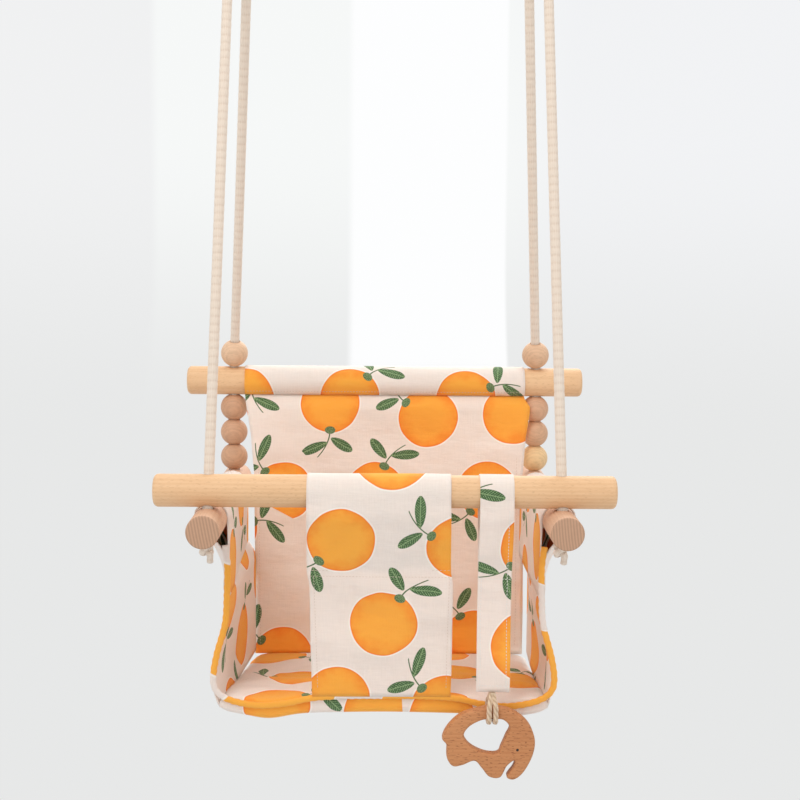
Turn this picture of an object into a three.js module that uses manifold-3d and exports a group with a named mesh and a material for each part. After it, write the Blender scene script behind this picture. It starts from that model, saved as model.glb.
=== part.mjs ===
// A toddler's bucket swing: a cloth seat hung from beech bars, on two pairs of cotton ropes.
// Millimetres. +X is the child's left, -Y is the front, +Z is up.
// The origin is the swinging axis, midway between the two steel D-rings that the swing hangs from.

import * as THREE from 'three';
import { mergeVertices } from 'three/addons/utils/BufferGeometryUtils.js';
import Module from 'manifold-3d';

// ---------- driving dimensions ----------

const GAP = 0.3; // clearance between touching pieces

// Hanging height and place of the seat under the D-rings.
const SIDE_BAR_Z = -580; // side bar axis
const SEAT_Y = -6.9; // middle of the seat, front to back, so that it hangs level

// Bars
const BAR_R = 15;
const LONG_BAR = 420; // front and rear bars
const SIDE_BAR = 336;
const BAR_CHAMFER = 2.5;
const BAR_BORE_R = 6.2;
const FRONT_BAR_UP = 2 * BAR_R + GAP; // axis above the side bar axis
const REAR_BAR_UP = 110;

// Ropes
const ROPE_R = 4.75;
const ROPE_SIDES = 8;
const ROPE_HOLE_X = 161;
const ROPE_HOLE_Y = 125; // in front of and behind the seat's middle
const ROPE_STEP = 24;
const BEND = 5; // half the length of the rope's bend where it leaves a bar
const FRONT_EYE_X = 151.2;
const REAR_EYE_X = 133.4;

// Eyes and whippings
const EYE_DROP = 38; // from the swinging axis down to the eye's throat
const WHIPPING_LENGTH = 26;
const WHIPPING_R = 6.2;
const LEG_SPREAD = 5.1; // half the spacing of an eye's legs at the throat
const EYE_LEG = 7; // straight part of an eye's legs
const EYE_WRAP = 1.16 * Math.PI; // how far an eye goes round the D-ring's bar
const ROPE_END_GAP = 3 * GAP; // between a rope's end and its whipping

// D-rings
const WIRE_R = 3;
const RING_HALF_WIDTH = 24;
const RING_BOW_R = 24;
const RING_SIDE = 12; // straight side between the bar and the bow

// Knots and beads
const KNOT_R = 8.5;
const KNOT_HALF_HEIGHT = 6.5;
const BEAD_R = 14.25;
const BEAD_BORE_R = 5.9;
const BEADS_BELOW = 3;
const BEAD_HEIGHT = (REAR_BAR_UP - 2 * BAR_R - GAP * (BEADS_BELOW + 1)) / BEADS_BELOW;
const BEAD_SEGMENTS = 16;
const TOP_BEAD_LIFT = 1.8; // keeps the tilted top bead clear of its bar

// Cloth
const CLOTH = 2.4; // doubled canvas
const SLEEVE_IN = BAR_R + GAP;
const SLEEVE_OUT = SLEEVE_IN + 1.6;
const SLEEVE_SEAM = 6; // width over which a sleeve's two layers are sewn together
const SEAM_GAP = 2.5; // from a seam to the panel that goes on below it
const BACK_SLEEVE_HALF = 148;
const SEAT_FRONT_Y = -99;
const SEAT_REAR_Y = 106;
const SEAT_HALF_WIDTH = 152;
const SEAT_FRONT_Z = -166;
const SEAT_REAR_Z = -181;
const SEAT_THICK = 17;
const SIDE_REAR_Y = SEAT_REAR_Y - 2;
const SIDE_DROP = [[147, -98], [155.5, -130], [158, -150], [157, -165], [155.4, -180]]; // x, z of a side wall
const BACK_EDGE = [[150, 93], [146.5, 60], [140, 20], [138.5, -40], [138.5, SEAT_REAR_Z + 0.5]]; // x, z
const PINCH = new THREE.Vector2(145.5, -73); // where a side sleeve's two layers are sewn together
const PIPING_R = 3.2;
const PIPING_DROP = [
  [147, -98], [155.5, -130], [157.5, -148], [151, -163], [130, -170.5], [104, -172], [60, -168.5],
];
const PIPING_MIDDLE_Z = -167;
const PIPING_START = 6; // below the side sleeves' seam

// Crotch panel, strap and teether
const CROTCH_X = [-68, 62];
const CROTCH_SEAM = new THREE.Vector2(-117, -45); // y, z
const CROTCH_MIDDLE = new THREE.Vector2(-111.5, -102.5);
const CROTCH_FOOT = new THREE.Vector2(-104, -160);
const STRAP_X = [85.2, 116];
const STRAP_SEAM_Z = -48;
const STRAP_END_Z = -157;
const CORD_R = 2;
const CORD_X = 99.5;
const TEETHER_THICK = 12;
const CORD_OUT = TEETHER_THICK / 2 + CORD_R + 1;
const CORD_HALF = [
  [-2.3, -GAP], [-4.6, -4.5], [-CORD_OUT, -10], [-CORD_OUT - 0.4, -16], [-CORD_OUT, -24], [-5.5, -29.5],
]; // y, z below the strap's end
const CORD_DROP = 31.2;
const TEETHER_TOP_Z = -169;
const TEETHER_SHIFT = -5; // from the cord to the middle of the elephant's back, so that it hangs level

// The teether is a flat elephant, facing +X, measured from the top of its back.
const ELEPHANT = [
  [0, 0], [-22, -6.5], [-35, -17.5], [-41, -29.5], [-37, -36], [-36.5, -48], [-31, -56],
  [-22, -55], [-11, -51], [-4, -58], [3, -66], [13, -66.5], [19, -56], [26, -50.5], [25, -56.5],
  [19, -66], [26, -68.5], [35, -61], [43, -45], [44.5, -30], [38, -15], [25, -4.5], [12, -0.5], [0, 0],
];
const BELLY_HOLE = [
  [4, -11.5], [-5, -12.5], [-16, -18.5], [-21, -27], [-15, -36.5], [-2, -43], [10, -43.5],
  [13.5, -37], [17.5, -27.5], [21, -19], [15, -12], [4, -11.5],
];

// ---------- materials ----------

const wood = { color: 0xe3c29b, roughness: 0.55, metalness: 0 };
const bead = { color: 0xd9b48a, roughness: 0.5, metalness: 0 };
const rope = { color: 0xf3eadc, roughness: 0.9, metalness: 0 };
const canvas = { color: 0xf7ead9, roughness: 0.95, metalness: 0 };
const binding = { color: 0xf6b45c, roughness: 0.9, metalness: 0 };
const steel = { color: 0xc4c6c8, roughness: 0.3, metalness: 1 };
const beech = { color: 0xc89468, roughness: 0.5, metalness: 0 };

// ---------- solids ----------

const wasm = await Module();
wasm.setup();

function toSolid(geometry) {
  const bare = geometry.index ? geometry.toNonIndexed() : geometry.clone();
  bare.deleteAttribute('normal');
  bare.deleteAttribute('uv');
  const merged = mergeVertices(bare, 1e-4);
  const corners = merged.index.array;
  const kept = [];
  for (let i = 0; i < corners.length; i += 3) {
    const [a, b, c] = corners.slice(i, i + 3);
    if (a !== b && b !== c && c !== a) kept.push(a, b, c);
  }
  return new wasm.Manifold(new wasm.Mesh({
    numProp: 3,
    vertProperties: new Float32Array(merged.attributes.position.array),
    triVerts: new Uint32Array(kept),
  }));
}

function toGeometry(solid) {
  const mesh = solid.getMesh();
  const geometry = new THREE.BufferGeometry();
  geometry.setAttribute('position', new THREE.BufferAttribute(mesh.vertProperties, 3));
  geometry.setIndex(new THREE.BufferAttribute(mesh.triVerts, 1));
  geometry.computeVertexNormals();
  return geometry;
}

const cut = (body, ...tools) => toGeometry(
  tools.reduce((solid, tool) => solid.subtract(toSolid(tool)), toSolid(body)),
);
const join = (body, ...others) => toGeometry(
  others.reduce((solid, other) => solid.add(toSolid(other)), toSolid(body)),
);

// A round bar with chamfered ends, lying along X.
function barAlongX(length, radius = BAR_R, segments = 24) {
  const half = length / 2;
  const profile = [
    [0, -half], [radius - BAR_CHAMFER, -half], [radius, -half + BAR_CHAMFER],
    [radius, half - BAR_CHAMFER], [radius - BAR_CHAMFER, half], [0, half],
  ].map(([r, y]) => new THREE.Vector2(r, y));
  return new THREE.LatheGeometry(profile, segments).rotateZ(Math.PI / 2);
}

// A cutter for a rope hole through a bar whose axis passes through the origin.
function boreAt(place, direction = new THREE.Vector3(0, 0, 1)) {
  const turn = new THREE.Quaternion().setFromUnitVectors(new THREE.Vector3(0, 1, 0), direction);
  return new THREE.CylinderGeometry(BAR_BORE_R, BAR_BORE_R, 4 * BAR_R, 16)
    .applyQuaternion(turn)
    .translate(place.x, place.y, place.z);
}

function roundSection(radius, sides) {
  const section = new THREE.Shape();
  for (let i = 0; i < sides; i += 1) {
    const angle = ((i + 0.5) / sides) * 2 * Math.PI;
    section[i ? 'lineTo' : 'moveTo'](radius * Math.cos(angle), radius * Math.sin(angle));
  }
  section.closePath();
  return section;
}

function tube(path, radius, sides, steps) {
  return new THREE.ExtrudeGeometry(roundSection(radius, sides), { steps, extrudePath: path });
}

// A plate drawn in the YZ plane and as wide as from lowX to highX.
function acrossX(shape, lowX, highX) {
  return new THREE.ExtrudeGeometry(shape, { depth: highX - lowX, bevelEnabled: false, curveSegments: 12 })
    .rotateY(Math.PI / 2)
    .rotateX(Math.PI / 2)
    .translate(lowX, 0, 0);
}

// A plate drawn in the XZ plane and running from lowY to highY.
function alongY(shape, lowY, highY) {
  return new THREE.ExtrudeGeometry(shape, { depth: highY - lowY, bevelEnabled: false, curveSegments: 12 })
    .rotateX(Math.PI / 2)
    .translate(0, highY, 0);
}

// A teardrop loop of cloth round a bar at (0, 0), whose two layers meet at the seam point.
function sleeveShape(seam) {
  const reach = seam.length();
  const toSeam = seam.angle();
  const outline = (radius, tip) => {
    const half = Math.acos(radius / tip);
    const points = [];
    for (let i = 0; i <= 18; i += 1) {
      const angle = toSeam + half + (i / 18) * (2 * Math.PI - 2 * half);
      points.push(new THREE.Vector2(radius * Math.cos(angle), radius * Math.sin(angle)));
    }
    points.push(new THREE.Vector2(tip * Math.cos(toSeam), tip * Math.sin(toSeam)));
    return points;
  };
  const shape = new THREE.Shape(outline(SLEEVE_OUT, reach));
  shape.holes.push(new THREE.Path(outline(SLEEVE_IN, reach - SLEEVE_SEAM)));
  return shape;
}

const flat = (points) => points.map(([across, up]) => new THREE.Vector2(across, up));

// A strip of even thickness along a line of points in a plane.
function stripShape(points, thick) {
  const line = new THREE.SplineCurve(points);
  const count = 10;
  const sides = [[], []];
  for (let i = 0; i <= count; i += 1) {
    const at = line.getPoint(i / count);
    const along = line.getTangent(i / count);
    const across = new THREE.Vector2(-along.y, along.x).multiplyScalar(thick / 2);
    sides[0].push(at.clone().add(across));
    sides[1].unshift(at.clone().sub(across));
  }
  return new THREE.Shape([...sides[0], ...sides[1]]);
}

// ---------- the tree of groups ----------

const swing = new THREE.Group();
const seat = new THREE.Group();
seat.position.set(0, SEAT_Y, SIDE_BAR_Z);
swing.add(seat);

function add(parent, name, geometry, material) {
  const mesh = new THREE.Mesh(geometry, new THREE.MeshStandardMaterial(material));
  mesh.name = name;
  parent.add(mesh);
  return mesh;
}

const SIDES = [['left', -1], ['right', 1]];

// ---------- D-rings ----------

// A D-ring stands in the XZ plane with its straight bar on the swinging axis.
function dRing() {
  const bow = new THREE.CurvePath();
  const top = RING_SIDE;
  bow.add(new THREE.LineCurve3(
    new THREE.Vector3(-RING_HALF_WIDTH, 0, 0),
    new THREE.Vector3(-RING_HALF_WIDTH, 0, top),
  ));
  const arc = [];
  for (let i = 0; i <= 8; i += 1) {
    const angle = Math.PI - (i / 8) * Math.PI;
    arc.push(new THREE.Vector3(RING_BOW_R * Math.cos(angle), 0, top + RING_BOW_R * Math.sin(angle)));
  }
  bow.add(new THREE.CatmullRomCurve3(arc));
  bow.add(new THREE.LineCurve3(
    new THREE.Vector3(RING_HALF_WIDTH, 0, top),
    new THREE.Vector3(RING_HALF_WIDTH, 0, 0),
  ));
  const bar = new THREE.CylinderGeometry(WIRE_R, WIRE_R, 2 * (RING_HALF_WIDTH + WIRE_R), 10)
    .rotateZ(Math.PI / 2);
  return join(tube(bow, WIRE_R, 8, 14), bar);
}

for (const [side, sign] of SIDES) {
  const ring = add(swing, `d_ring_${side}`, dRing(), steel);
  ring.position.x = sign * (FRONT_EYE_X + REAR_EYE_X) / 2;
}

// ---------- ropes, eyes and whippings ----------

// Where a rope starts, where it bends and where it goes, for a front or a rear rope.
function ropeRoute(end, sign) {
  const isFront = end === 'front';
  const holeY = SEAT_Y + (isFront ? -ROPE_HOLE_Y : ROPE_HOLE_Y);
  const bendUp = isFront ? BAR_R : REAR_BAR_UP + BAR_R;
  const low = new THREE.Vector3(sign * ROPE_HOLE_X, holeY, SIDE_BAR_Z - BAR_R - GAP);
  const bend = new THREE.Vector3(low.x, holeY, SIDE_BAR_Z + bendUp);
  const high = new THREE.Vector3(sign * (isFront ? FRONT_EYE_X : REAR_EYE_X), 0, 0);
  const up = high.clone().sub(bend).normalize();
  return { low, bend, high, up };
}

function ropePath({ low, bend, high, up }) {
  const path = new THREE.CurvePath();
  const before = bend.clone().add(new THREE.Vector3(0, 0, -BEND));
  const after = bend.clone().addScaledVector(up, BEND);
  const top = high.clone().addScaledVector(up, -EYE_DROP - WHIPPING_LENGTH - ROPE_END_GAP);
  path.add(new THREE.LineCurve3(low, before));
  path.add(new THREE.QuadraticBezierCurve3(before, bend, after));
  path.add(new THREE.LineCurve3(after, top));
  return path;
}

// An eye goes over the D-ring's bar, in the plane that its rope leans in.
function eyeGeometry() {
  const over = WIRE_R + GAP + ROPE_R;
  const heights = [-EYE_DROP + GAP, -EYE_DROP + EYE_LEG];
  const points = heights.map((z) => new THREE.Vector3(0, -LEG_SPREAD, z));
  for (let i = 0; i <= 8; i += 1) {
    const angle = Math.PI / 2 + (0.5 - i / 8) * EYE_WRAP;
    points.push(new THREE.Vector3(0, over * Math.cos(angle), over * Math.sin(angle)));
  }
  points.push(...[...heights].reverse().map((z) => new THREE.Vector3(0, LEG_SPREAD, z)));
  return tube(new THREE.CatmullRomCurve3(points), ROPE_R, ROPE_SIDES, 14);
}

function whippingGeometry() {
  const half = LEG_SPREAD;
  const shape = new THREE.Shape();
  shape.absarc(half, 0, WHIPPING_R, -Math.PI / 2, Math.PI / 2);
  shape.absarc(-half, 0, WHIPPING_R, Math.PI / 2, 1.5 * Math.PI);
  shape.closePath();
  return new THREE.ExtrudeGeometry(shape, { depth: WHIPPING_LENGTH, bevelEnabled: false, curveSegments: 8 })
    .rotateZ(Math.PI / 2)
    .translate(0, 0, -EYE_DROP - GAP - WHIPPING_LENGTH);
}

for (const end of ['front', 'rear']) {
  for (const [side, sign] of SIDES) {
    const route = ropeRoute(end, sign);
    const path = ropePath(route);
    const steps = Math.round(path.getLength() / ROPE_STEP);
    add(swing, `rope_${end}_${side}`, tube(path, ROPE_R, ROPE_SIDES, steps), rope);
    const head = new THREE.Group();
    head.position.copy(route.high);
    head.rotation.x = Math.atan2(-route.up.y, route.up.z);
    swing.add(head);
    add(head, `eye_${end}_${side}`, eyeGeometry(), rope);
    add(head, `whipping_${end}_${side}`, whippingGeometry(), rope);
    const knot = new THREE.SphereGeometry(KNOT_R, 12, 8)
      .rotateX(Math.PI / 2)
      .scale(1, 1, KNOT_HALF_HEIGHT / KNOT_R);
    const knotMesh = add(swing, `knot_${end}_${side}`, knot, rope);
    knotMesh.position.copy(route.low).z -= KNOT_HALF_HEIGHT + GAP;
  }
}

// ---------- bars ----------

const frontUp = ropeRoute('front', 1).up;
for (const [side, sign] of SIDES) {
  const holes = [-ROPE_HOLE_Y, ROPE_HOLE_Y].map((y) => boreAt(new THREE.Vector3(0, y, 0)));
  const bar = cut(barAlongX(SIDE_BAR).rotateZ(Math.PI / 2), ...holes);
  add(seat, `side_bar_${side}`, bar, wood).position.x = sign * ROPE_HOLE_X;
}

const holesAcross = SIDES.map(([, sign]) => new THREE.Vector3(sign * ROPE_HOLE_X, 0, 0));
const rearBar = cut(barAlongX(LONG_BAR), ...holesAcross.map((place) => boreAt(place)));
add(seat, 'rear_bar', rearBar, wood).position.set(0, ROPE_HOLE_Y, REAR_BAR_UP);

// The front bar's holes lean with the front ropes, so that it can be pushed up them. They meet
// the ropes at their bends, which lie at the top of the side bars.
const leanShift = (frontUp.y / frontUp.z) * (FRONT_BAR_UP - BAR_R);
const frontBar = cut(
  barAlongX(LONG_BAR),
  ...SIDES.map(([, sign]) => boreAt(
    new THREE.Vector3(sign * ROPE_HOLE_X, 0, 0),
    new THREE.Vector3(-sign * Math.abs(frontUp.x), frontUp.y, frontUp.z),
  )),
);
const frontBarY = -ROPE_HOLE_Y + leanShift;
add(seat, 'front_bar', frontBar, wood).position.set(0, frontBarY, FRONT_BAR_UP);

// ---------- beads ----------

// A turned bead is a ball with flats where its hole comes out.
function beadGeometry() {
  const half = BEAD_HEIGHT / 2;
  const start = Math.asin(half / BEAD_R);
  const profile = [new THREE.Vector2(BEAD_BORE_R, -half)];
  for (let i = 0; i <= 6; i += 1) {
    const angle = -start + (i / 6) * 2 * start;
    profile.push(new THREE.Vector2(BEAD_R * Math.cos(angle), BEAD_R * Math.sin(angle)));
  }
  profile.push(new THREE.Vector2(BEAD_BORE_R, half), profile[0].clone());
  return new THREE.LatheGeometry(profile, BEAD_SEGMENTS).rotateX(Math.PI / 2);
}

for (const [side, sign] of SIDES) {
  for (let i = 0; i < BEADS_BELOW; i += 1) {
    const up = BAR_R + GAP + BEAD_HEIGHT / 2 + i * (BEAD_HEIGHT + GAP);
    add(seat, `bead_${side}_${i + 1}`, beadGeometry(), bead)
      .position.set(sign * ROPE_HOLE_X, ROPE_HOLE_Y, up);
  }
  const { bend, up } = ropeRoute('rear', sign);
  const top = add(swing, `bead_${side}_top`, beadGeometry(), bead);
  top.quaternion.setFromUnitVectors(new THREE.Vector3(0, 0, 1), up);
  top.position.copy(bend).addScaledVector(up, BEAD_HEIGHT / 2 + TOP_BEAD_LIFT);
}

// ---------- side sleeves and panels ----------

for (const [side, sign] of SIDES) {
  const seam = new THREE.Vector2(sign * (PINCH.x - ROPE_HOLE_X), PINCH.y);
  const sleeve = alongY(sleeveShape(seam), SEAT_FRONT_Y, SIDE_REAR_Y);
  add(seat, `side_sleeve_${side}`, sleeve, canvas).position.x = sign * ROPE_HOLE_X;
  const line = flat([[PINCH.x, PINCH.y - SEAM_GAP], ...SIDE_DROP].map(([x, z]) => [sign * x, z]));
  const panel = alongY(stripShape(line, CLOTH), SEAT_FRONT_Y, SIDE_REAR_Y);
  add(seat, `side_panel_${side}`, panel, canvas);
}

// ---------- seat base ----------

// The seat's top falls towards the back.
const seatShape = new THREE.Shape([
  new THREE.Vector2(SEAT_FRONT_Y, SEAT_FRONT_Z),
  new THREE.Vector2(SEAT_FRONT_Y, SEAT_FRONT_Z - SEAT_THICK),
  new THREE.Vector2(SEAT_REAR_Y, SEAT_REAR_Z - SEAT_THICK),
  new THREE.Vector2(SEAT_REAR_Y, SEAT_REAR_Z),
]);
add(seat, 'seat_base', acrossX(seatShape, -SEAT_HALF_WIDTH, SEAT_HALF_WIDTH), canvas);

// ---------- backrest ----------

const backSleeve = new THREE.Shape();
backSleeve.absarc(0, 0, SLEEVE_OUT, 0, 2 * Math.PI);
const backHole = new THREE.Path();
backHole.absarc(0, 0, SLEEVE_IN, 0, 2 * Math.PI);
backSleeve.holes.push(backHole);
add(seat, 'backrest_sleeve', acrossX(backSleeve, -BACK_SLEEVE_HALF, BACK_SLEEVE_HALF), canvas)
  .position.set(0, ROPE_HOLE_Y, REAR_BAR_UP);

// Its front face seen straight on: the upper corners flare out.
const back = new THREE.Shape(flat([
  ...BACK_EDGE.map(([x, z]) => [-x, z]),
  ...[...BACK_EDGE].reverse(),
]));
add(seat, 'backrest_panel', alongY(back, SEAT_REAR_Y - CLOTH, SEAT_REAR_Y), canvas);

// ---------- piping round the front edge ----------

const pipeY = SEAT_FRONT_Y - GAP - PIPING_R;
const halfPipe = [[PINCH.x, PINCH.y - PIPING_START], ...PIPING_DROP];
const pipePoints = [
  ...halfPipe.map(([x, z]) => new THREE.Vector3(-x, pipeY, z)),
  new THREE.Vector3(0, pipeY, PIPING_MIDDLE_Z),
  ...[...halfPipe].reverse().map(([x, z]) => new THREE.Vector3(x, pipeY, z)),
];
add(seat, 'front_piping', tube(new THREE.CatmullRomCurve3(pipePoints), PIPING_R, 8, 40), binding);

// ---------- crotch panel ----------

// Shapes in the YZ plane measure from the front bar's axis, or from the side bar's.
const crotchSeam = new THREE.Vector2(CROTCH_SEAM.x - frontBarY, CROTCH_SEAM.y - FRONT_BAR_UP);
add(seat, 'crotch_sleeve', acrossX(sleeveShape(crotchSeam), ...CROTCH_X), canvas)
  .position.set(0, frontBarY, FRONT_BAR_UP);
const crotchLine = [
  new THREE.Vector2(CROTCH_SEAM.x, CROTCH_SEAM.y - SEAM_GAP),
  CROTCH_MIDDLE,
  CROTCH_FOOT,
];
add(seat, 'crotch_panel', acrossX(stripShape(crotchLine, CLOTH), ...CROTCH_X), canvas);

// ---------- hanging strap, its cord and the teether ----------

const strapSeam = new THREE.Vector2(0, STRAP_SEAM_Z - FRONT_BAR_UP);
add(seat, 'strap_loop', acrossX(sleeveShape(strapSeam), ...STRAP_X), canvas)
  .position.set(0, frontBarY, FRONT_BAR_UP);
const tailLine = [
  new THREE.Vector2(frontBarY, STRAP_SEAM_Z - SEAM_GAP),
  new THREE.Vector2(frontBarY, (STRAP_SEAM_Z + STRAP_END_Z) / 2),
  new THREE.Vector2(frontBarY, STRAP_END_Z),
];
add(seat, 'strap_tail', acrossX(stripShape(tailLine, CLOTH), ...STRAP_X), canvas);

const cordPoints = [
  ...CORD_HALF.map(([y, z]) => new THREE.Vector3(CORD_X, frontBarY + y, STRAP_END_Z + z)),
  new THREE.Vector3(CORD_X, frontBarY, STRAP_END_Z - CORD_DROP),
  ...[...CORD_HALF].reverse().map(([y, z]) => new THREE.Vector3(CORD_X, frontBarY - y, STRAP_END_Z + z)),
];
add(seat, 'teether_cord', tube(new THREE.CatmullRomCurve3(cordPoints), CORD_R, 8, 18), rope);

const elephant = new THREE.Shape(new THREE.SplineCurve(flat(ELEPHANT)).getPoints(52).slice(0, -1));
const belly = new THREE.Path(new THREE.SplineCurve(flat(BELLY_HOLE)).getPoints(24).slice(0, -1));
elephant.holes.push(belly);
add(seat, 'teether', alongY(elephant, -TEETHER_THICK / 2, TEETHER_THICK / 2), beech)
  .position.set(CORD_X + TEETHER_SHIFT, frontBarY, TEETHER_TOP_Z);

export default swing;
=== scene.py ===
"""A toddler's bucket swing in printed canvas, hung from beech bars on braided cotton ropes.

Metres, +Z up, the front facing -Y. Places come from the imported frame: h is height above the side
bars' axis, and y is measured in the frame.
"""
import math

import bmesh
import bpy
import numpy as np
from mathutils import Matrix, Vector, noise
from mathutils.bvhtree import BVHTree


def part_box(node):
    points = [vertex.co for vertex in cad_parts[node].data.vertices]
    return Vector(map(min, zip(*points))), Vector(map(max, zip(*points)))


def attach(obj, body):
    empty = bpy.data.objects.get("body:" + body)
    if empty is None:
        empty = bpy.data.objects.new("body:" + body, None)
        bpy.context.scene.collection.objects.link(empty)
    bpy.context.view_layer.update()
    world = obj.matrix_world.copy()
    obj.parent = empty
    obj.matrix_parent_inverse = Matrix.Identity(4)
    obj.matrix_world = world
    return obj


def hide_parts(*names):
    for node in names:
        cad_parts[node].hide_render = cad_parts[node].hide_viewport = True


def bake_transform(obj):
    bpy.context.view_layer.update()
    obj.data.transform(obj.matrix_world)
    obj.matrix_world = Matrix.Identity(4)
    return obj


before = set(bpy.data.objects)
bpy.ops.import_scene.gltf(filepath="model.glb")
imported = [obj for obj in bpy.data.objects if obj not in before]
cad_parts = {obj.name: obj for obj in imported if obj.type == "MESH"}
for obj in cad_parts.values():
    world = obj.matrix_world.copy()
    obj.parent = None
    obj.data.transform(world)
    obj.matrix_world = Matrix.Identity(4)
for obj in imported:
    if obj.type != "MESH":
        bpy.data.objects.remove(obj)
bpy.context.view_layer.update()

# ---------- places taken from the frame ----------

LEFT, RIGHT = -1, 1
SIDES = (("left", LEFT), ("right", RIGHT))


def middle(node):
    low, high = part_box(node)
    return (low + high) / 2


def half_size(node):
    low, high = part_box(node)
    return (high - low) / 2


SIDE_BAR = middle("side_bar_right")
FRONT_BAR = middle("front_bar")
REAR_BAR = middle("rear_bar")
BAR_R = half_size("front_bar").z
LONG_HALF = half_size("front_bar").x
SHORT_HALF = half_size("side_bar_right").y
SEAT_LOW, SEAT_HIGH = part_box("seat_base")
ZERO = SIDE_BAR.z
FRONT_H = FRONT_BAR.z - ZERO
REAR_H = REAR_BAR.z - ZERO
HOLE_X = SIDE_BAR.x
HOLE_Y = REAR_BAR.y - SIDE_BAR.y
FRONT_HOLE_Y = SIDE_BAR.y - HOLE_Y
BACK_Y = SEAT_HIGH.y
EDGE_Y = SEAT_LOW.y

ROPE_R = 0.00475
WIRE_R = 0.003
CLOTH = 0.0013
SLEEVE_R = BAR_R + 0.0007


def at(x, y, h):
    return Vector((x, y, ZERO + h))


# ---------- shader maths ----------


class Value:
    """A socket's value, on which arithmetic adds Math nodes."""

    def __init__(self, paint, socket):
        self.paint, self.socket = paint, socket

    def __add__(self, other):
        return self.paint.math("ADD", self, other)

    def __sub__(self, other):
        return self.paint.math("SUBTRACT", self, other)

    def __rsub__(self, other):
        return self.paint.math("SUBTRACT", other, self)

    def __mul__(self, other):
        return self.paint.math("MULTIPLY", self, other)

    def __truediv__(self, other):
        return self.paint.math("DIVIDE", self, other)

    def __pow__(self, other):
        return self.paint.math("POWER", self, other)

    __radd__, __rmul__ = __add__, __mul__


class Paint:
    """A node tree, and the few ways in which nodes are added to it."""

    def __init__(self, tree):
        self.tree = tree

    def node(self, kind, settings=None, inputs=None, out=0):
        """Adds a node, sets it up, fills its sockets, and gives back one output."""
        made = self.tree.nodes.new(kind)
        for key, value in (settings or {}).items():
            if key == "stops":
                ramp = made.color_ramp
                while len(ramp.elements) < len(value):
                    ramp.elements.new(1.0)
                for element, (place, colour) in zip(ramp.elements, value):
                    element.position, element.color = place, (*colour, 1)
            else:
                setattr(made, key, value)
        for key, value in (inputs or {}).items():
            if isinstance(value, Value):
                self.tree.links.new(value.socket, made.inputs[key])
            else:
                made.inputs[key].default_value = value
        return Value(self, made.outputs[out])

    def math(self, operation, a, b=0.0, c=0.0):
        return self.node("ShaderNodeMath", {"operation": operation}, {0: a, 1: b, 2: c})

    def step(self, value, low, high):
        """0 below low and 1 above high, smoothly, or the other way round if low is above high."""
        return self.node(
            "ShaderNodeMapRange", {"interpolation_type": "SMOOTHSTEP"},
            {"Value": value, "From Min": low, "From Max": high},
        )

    def mix(self, factor, a, b):
        a = a if isinstance(a, Value) else (*a, 1)
        b = b if isinstance(b, Value) else (*b, 1)
        return self.node(
            "ShaderNodeMix", {"data_type": "RGBA"}, {0: factor, 6: a, 7: b}, 2,
        )

    def vector(self, operation, a, b=(0, 0, 0), out=0):
        return self.node("ShaderNodeVectorMath", {"operation": operation}, {0: a, 1: b}, out)

    def noise(self, place, scale, detail=2.0, roughness=0.5):
        return self.node(
            "ShaderNodeTexNoise", None,
            {"Vector": place, "Scale": scale, "Detail": detail, "Roughness": roughness},
        )

    def parts(self, vector):
        first = self.node("ShaderNodeSeparateXYZ", None, {0: vector})
        return [Value(self, socket) for socket in first.socket.node.outputs]

    def join(self, x, y, z=0.0):
        return self.node("ShaderNodeCombineXYZ", None, {0: x, 1: y, 2: z})

    def stretched(self, place, scale):
        return self.node("ShaderNodeMapping", None, {"Vector": place, "Scale": scale})

    def bump(self, height, distance, strength=1.0, normal=None):
        inputs = {"Height": height, "Distance": distance, "Strength": strength}
        if normal is not None:
            inputs["Normal"] = normal
        return self.node("ShaderNodeBump", None, inputs)


def new_material(name, **shader):
    """A material with one Principled shader, whose constant sockets are set here."""
    material = bpy.data.materials.new(name)
    material.use_nodes = True
    surface = material.node_tree.nodes["Principled BSDF"]
    for key, value in shader.items():
        surface.inputs[key.replace("_", " ")].default_value = value
    return material, Paint(material.node_tree), surface


def feed(paint, surface, **links):
    for key, value in links.items():
        paint.tree.links.new(value.socket, surface.inputs[key.replace("_", " ")])


def cloth_uv(paint):
    return paint.node("ShaderNodeUVMap", {"uv_map": "cloth"})


def object_place(paint):
    return paint.node("ShaderNodeTexCoord", out=3)


# ---------- the citrus print ----------

CREAM = (0.880, 0.770, 0.705)
HALO = (0.960, 0.895, 0.830)
ORANGE = (1.000, 0.420, 0.050)
ORANGE_DEEP = (0.960, 0.300, 0.025)
ORANGE_EDGE = (0.930, 0.240, 0.018)
GREEN = (0.045, 0.120, 0.045)
GREEN_LIGHT = (0.330, 0.480, 0.230)
ORANGE_R = 0.0312
MOTIF_MIDDLE = 0.020  # the middle of fruit and leaves lies this far above the fruit's own middle
FRUIT_WOBBLE = 0.0034
STALK = 0.0282  # from the fruit's middle to its cap


def new_group(name, sockets, result, kind, tree_kind="ShaderNodeTree"):
    """An empty node group, with its inputs as values and a way to set its result."""
    group = bpy.data.node_groups.new(name, tree_kind)
    for socket, socket_kind in sockets:
        group.interface.new_socket(socket, in_out="INPUT", socket_type=socket_kind)
    group.interface.new_socket(result, in_out="OUTPUT", socket_type=kind)
    paint = Paint(group)
    entry = group.nodes.new("NodeGroupInput")
    leave = group.nodes.new("NodeGroupOutput")
    values = [Value(paint, entry.outputs[i]) for i in range(len(sockets))]
    return group, paint, values, lambda value: group.links.new(value.socket, leave.inputs[0])


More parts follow.
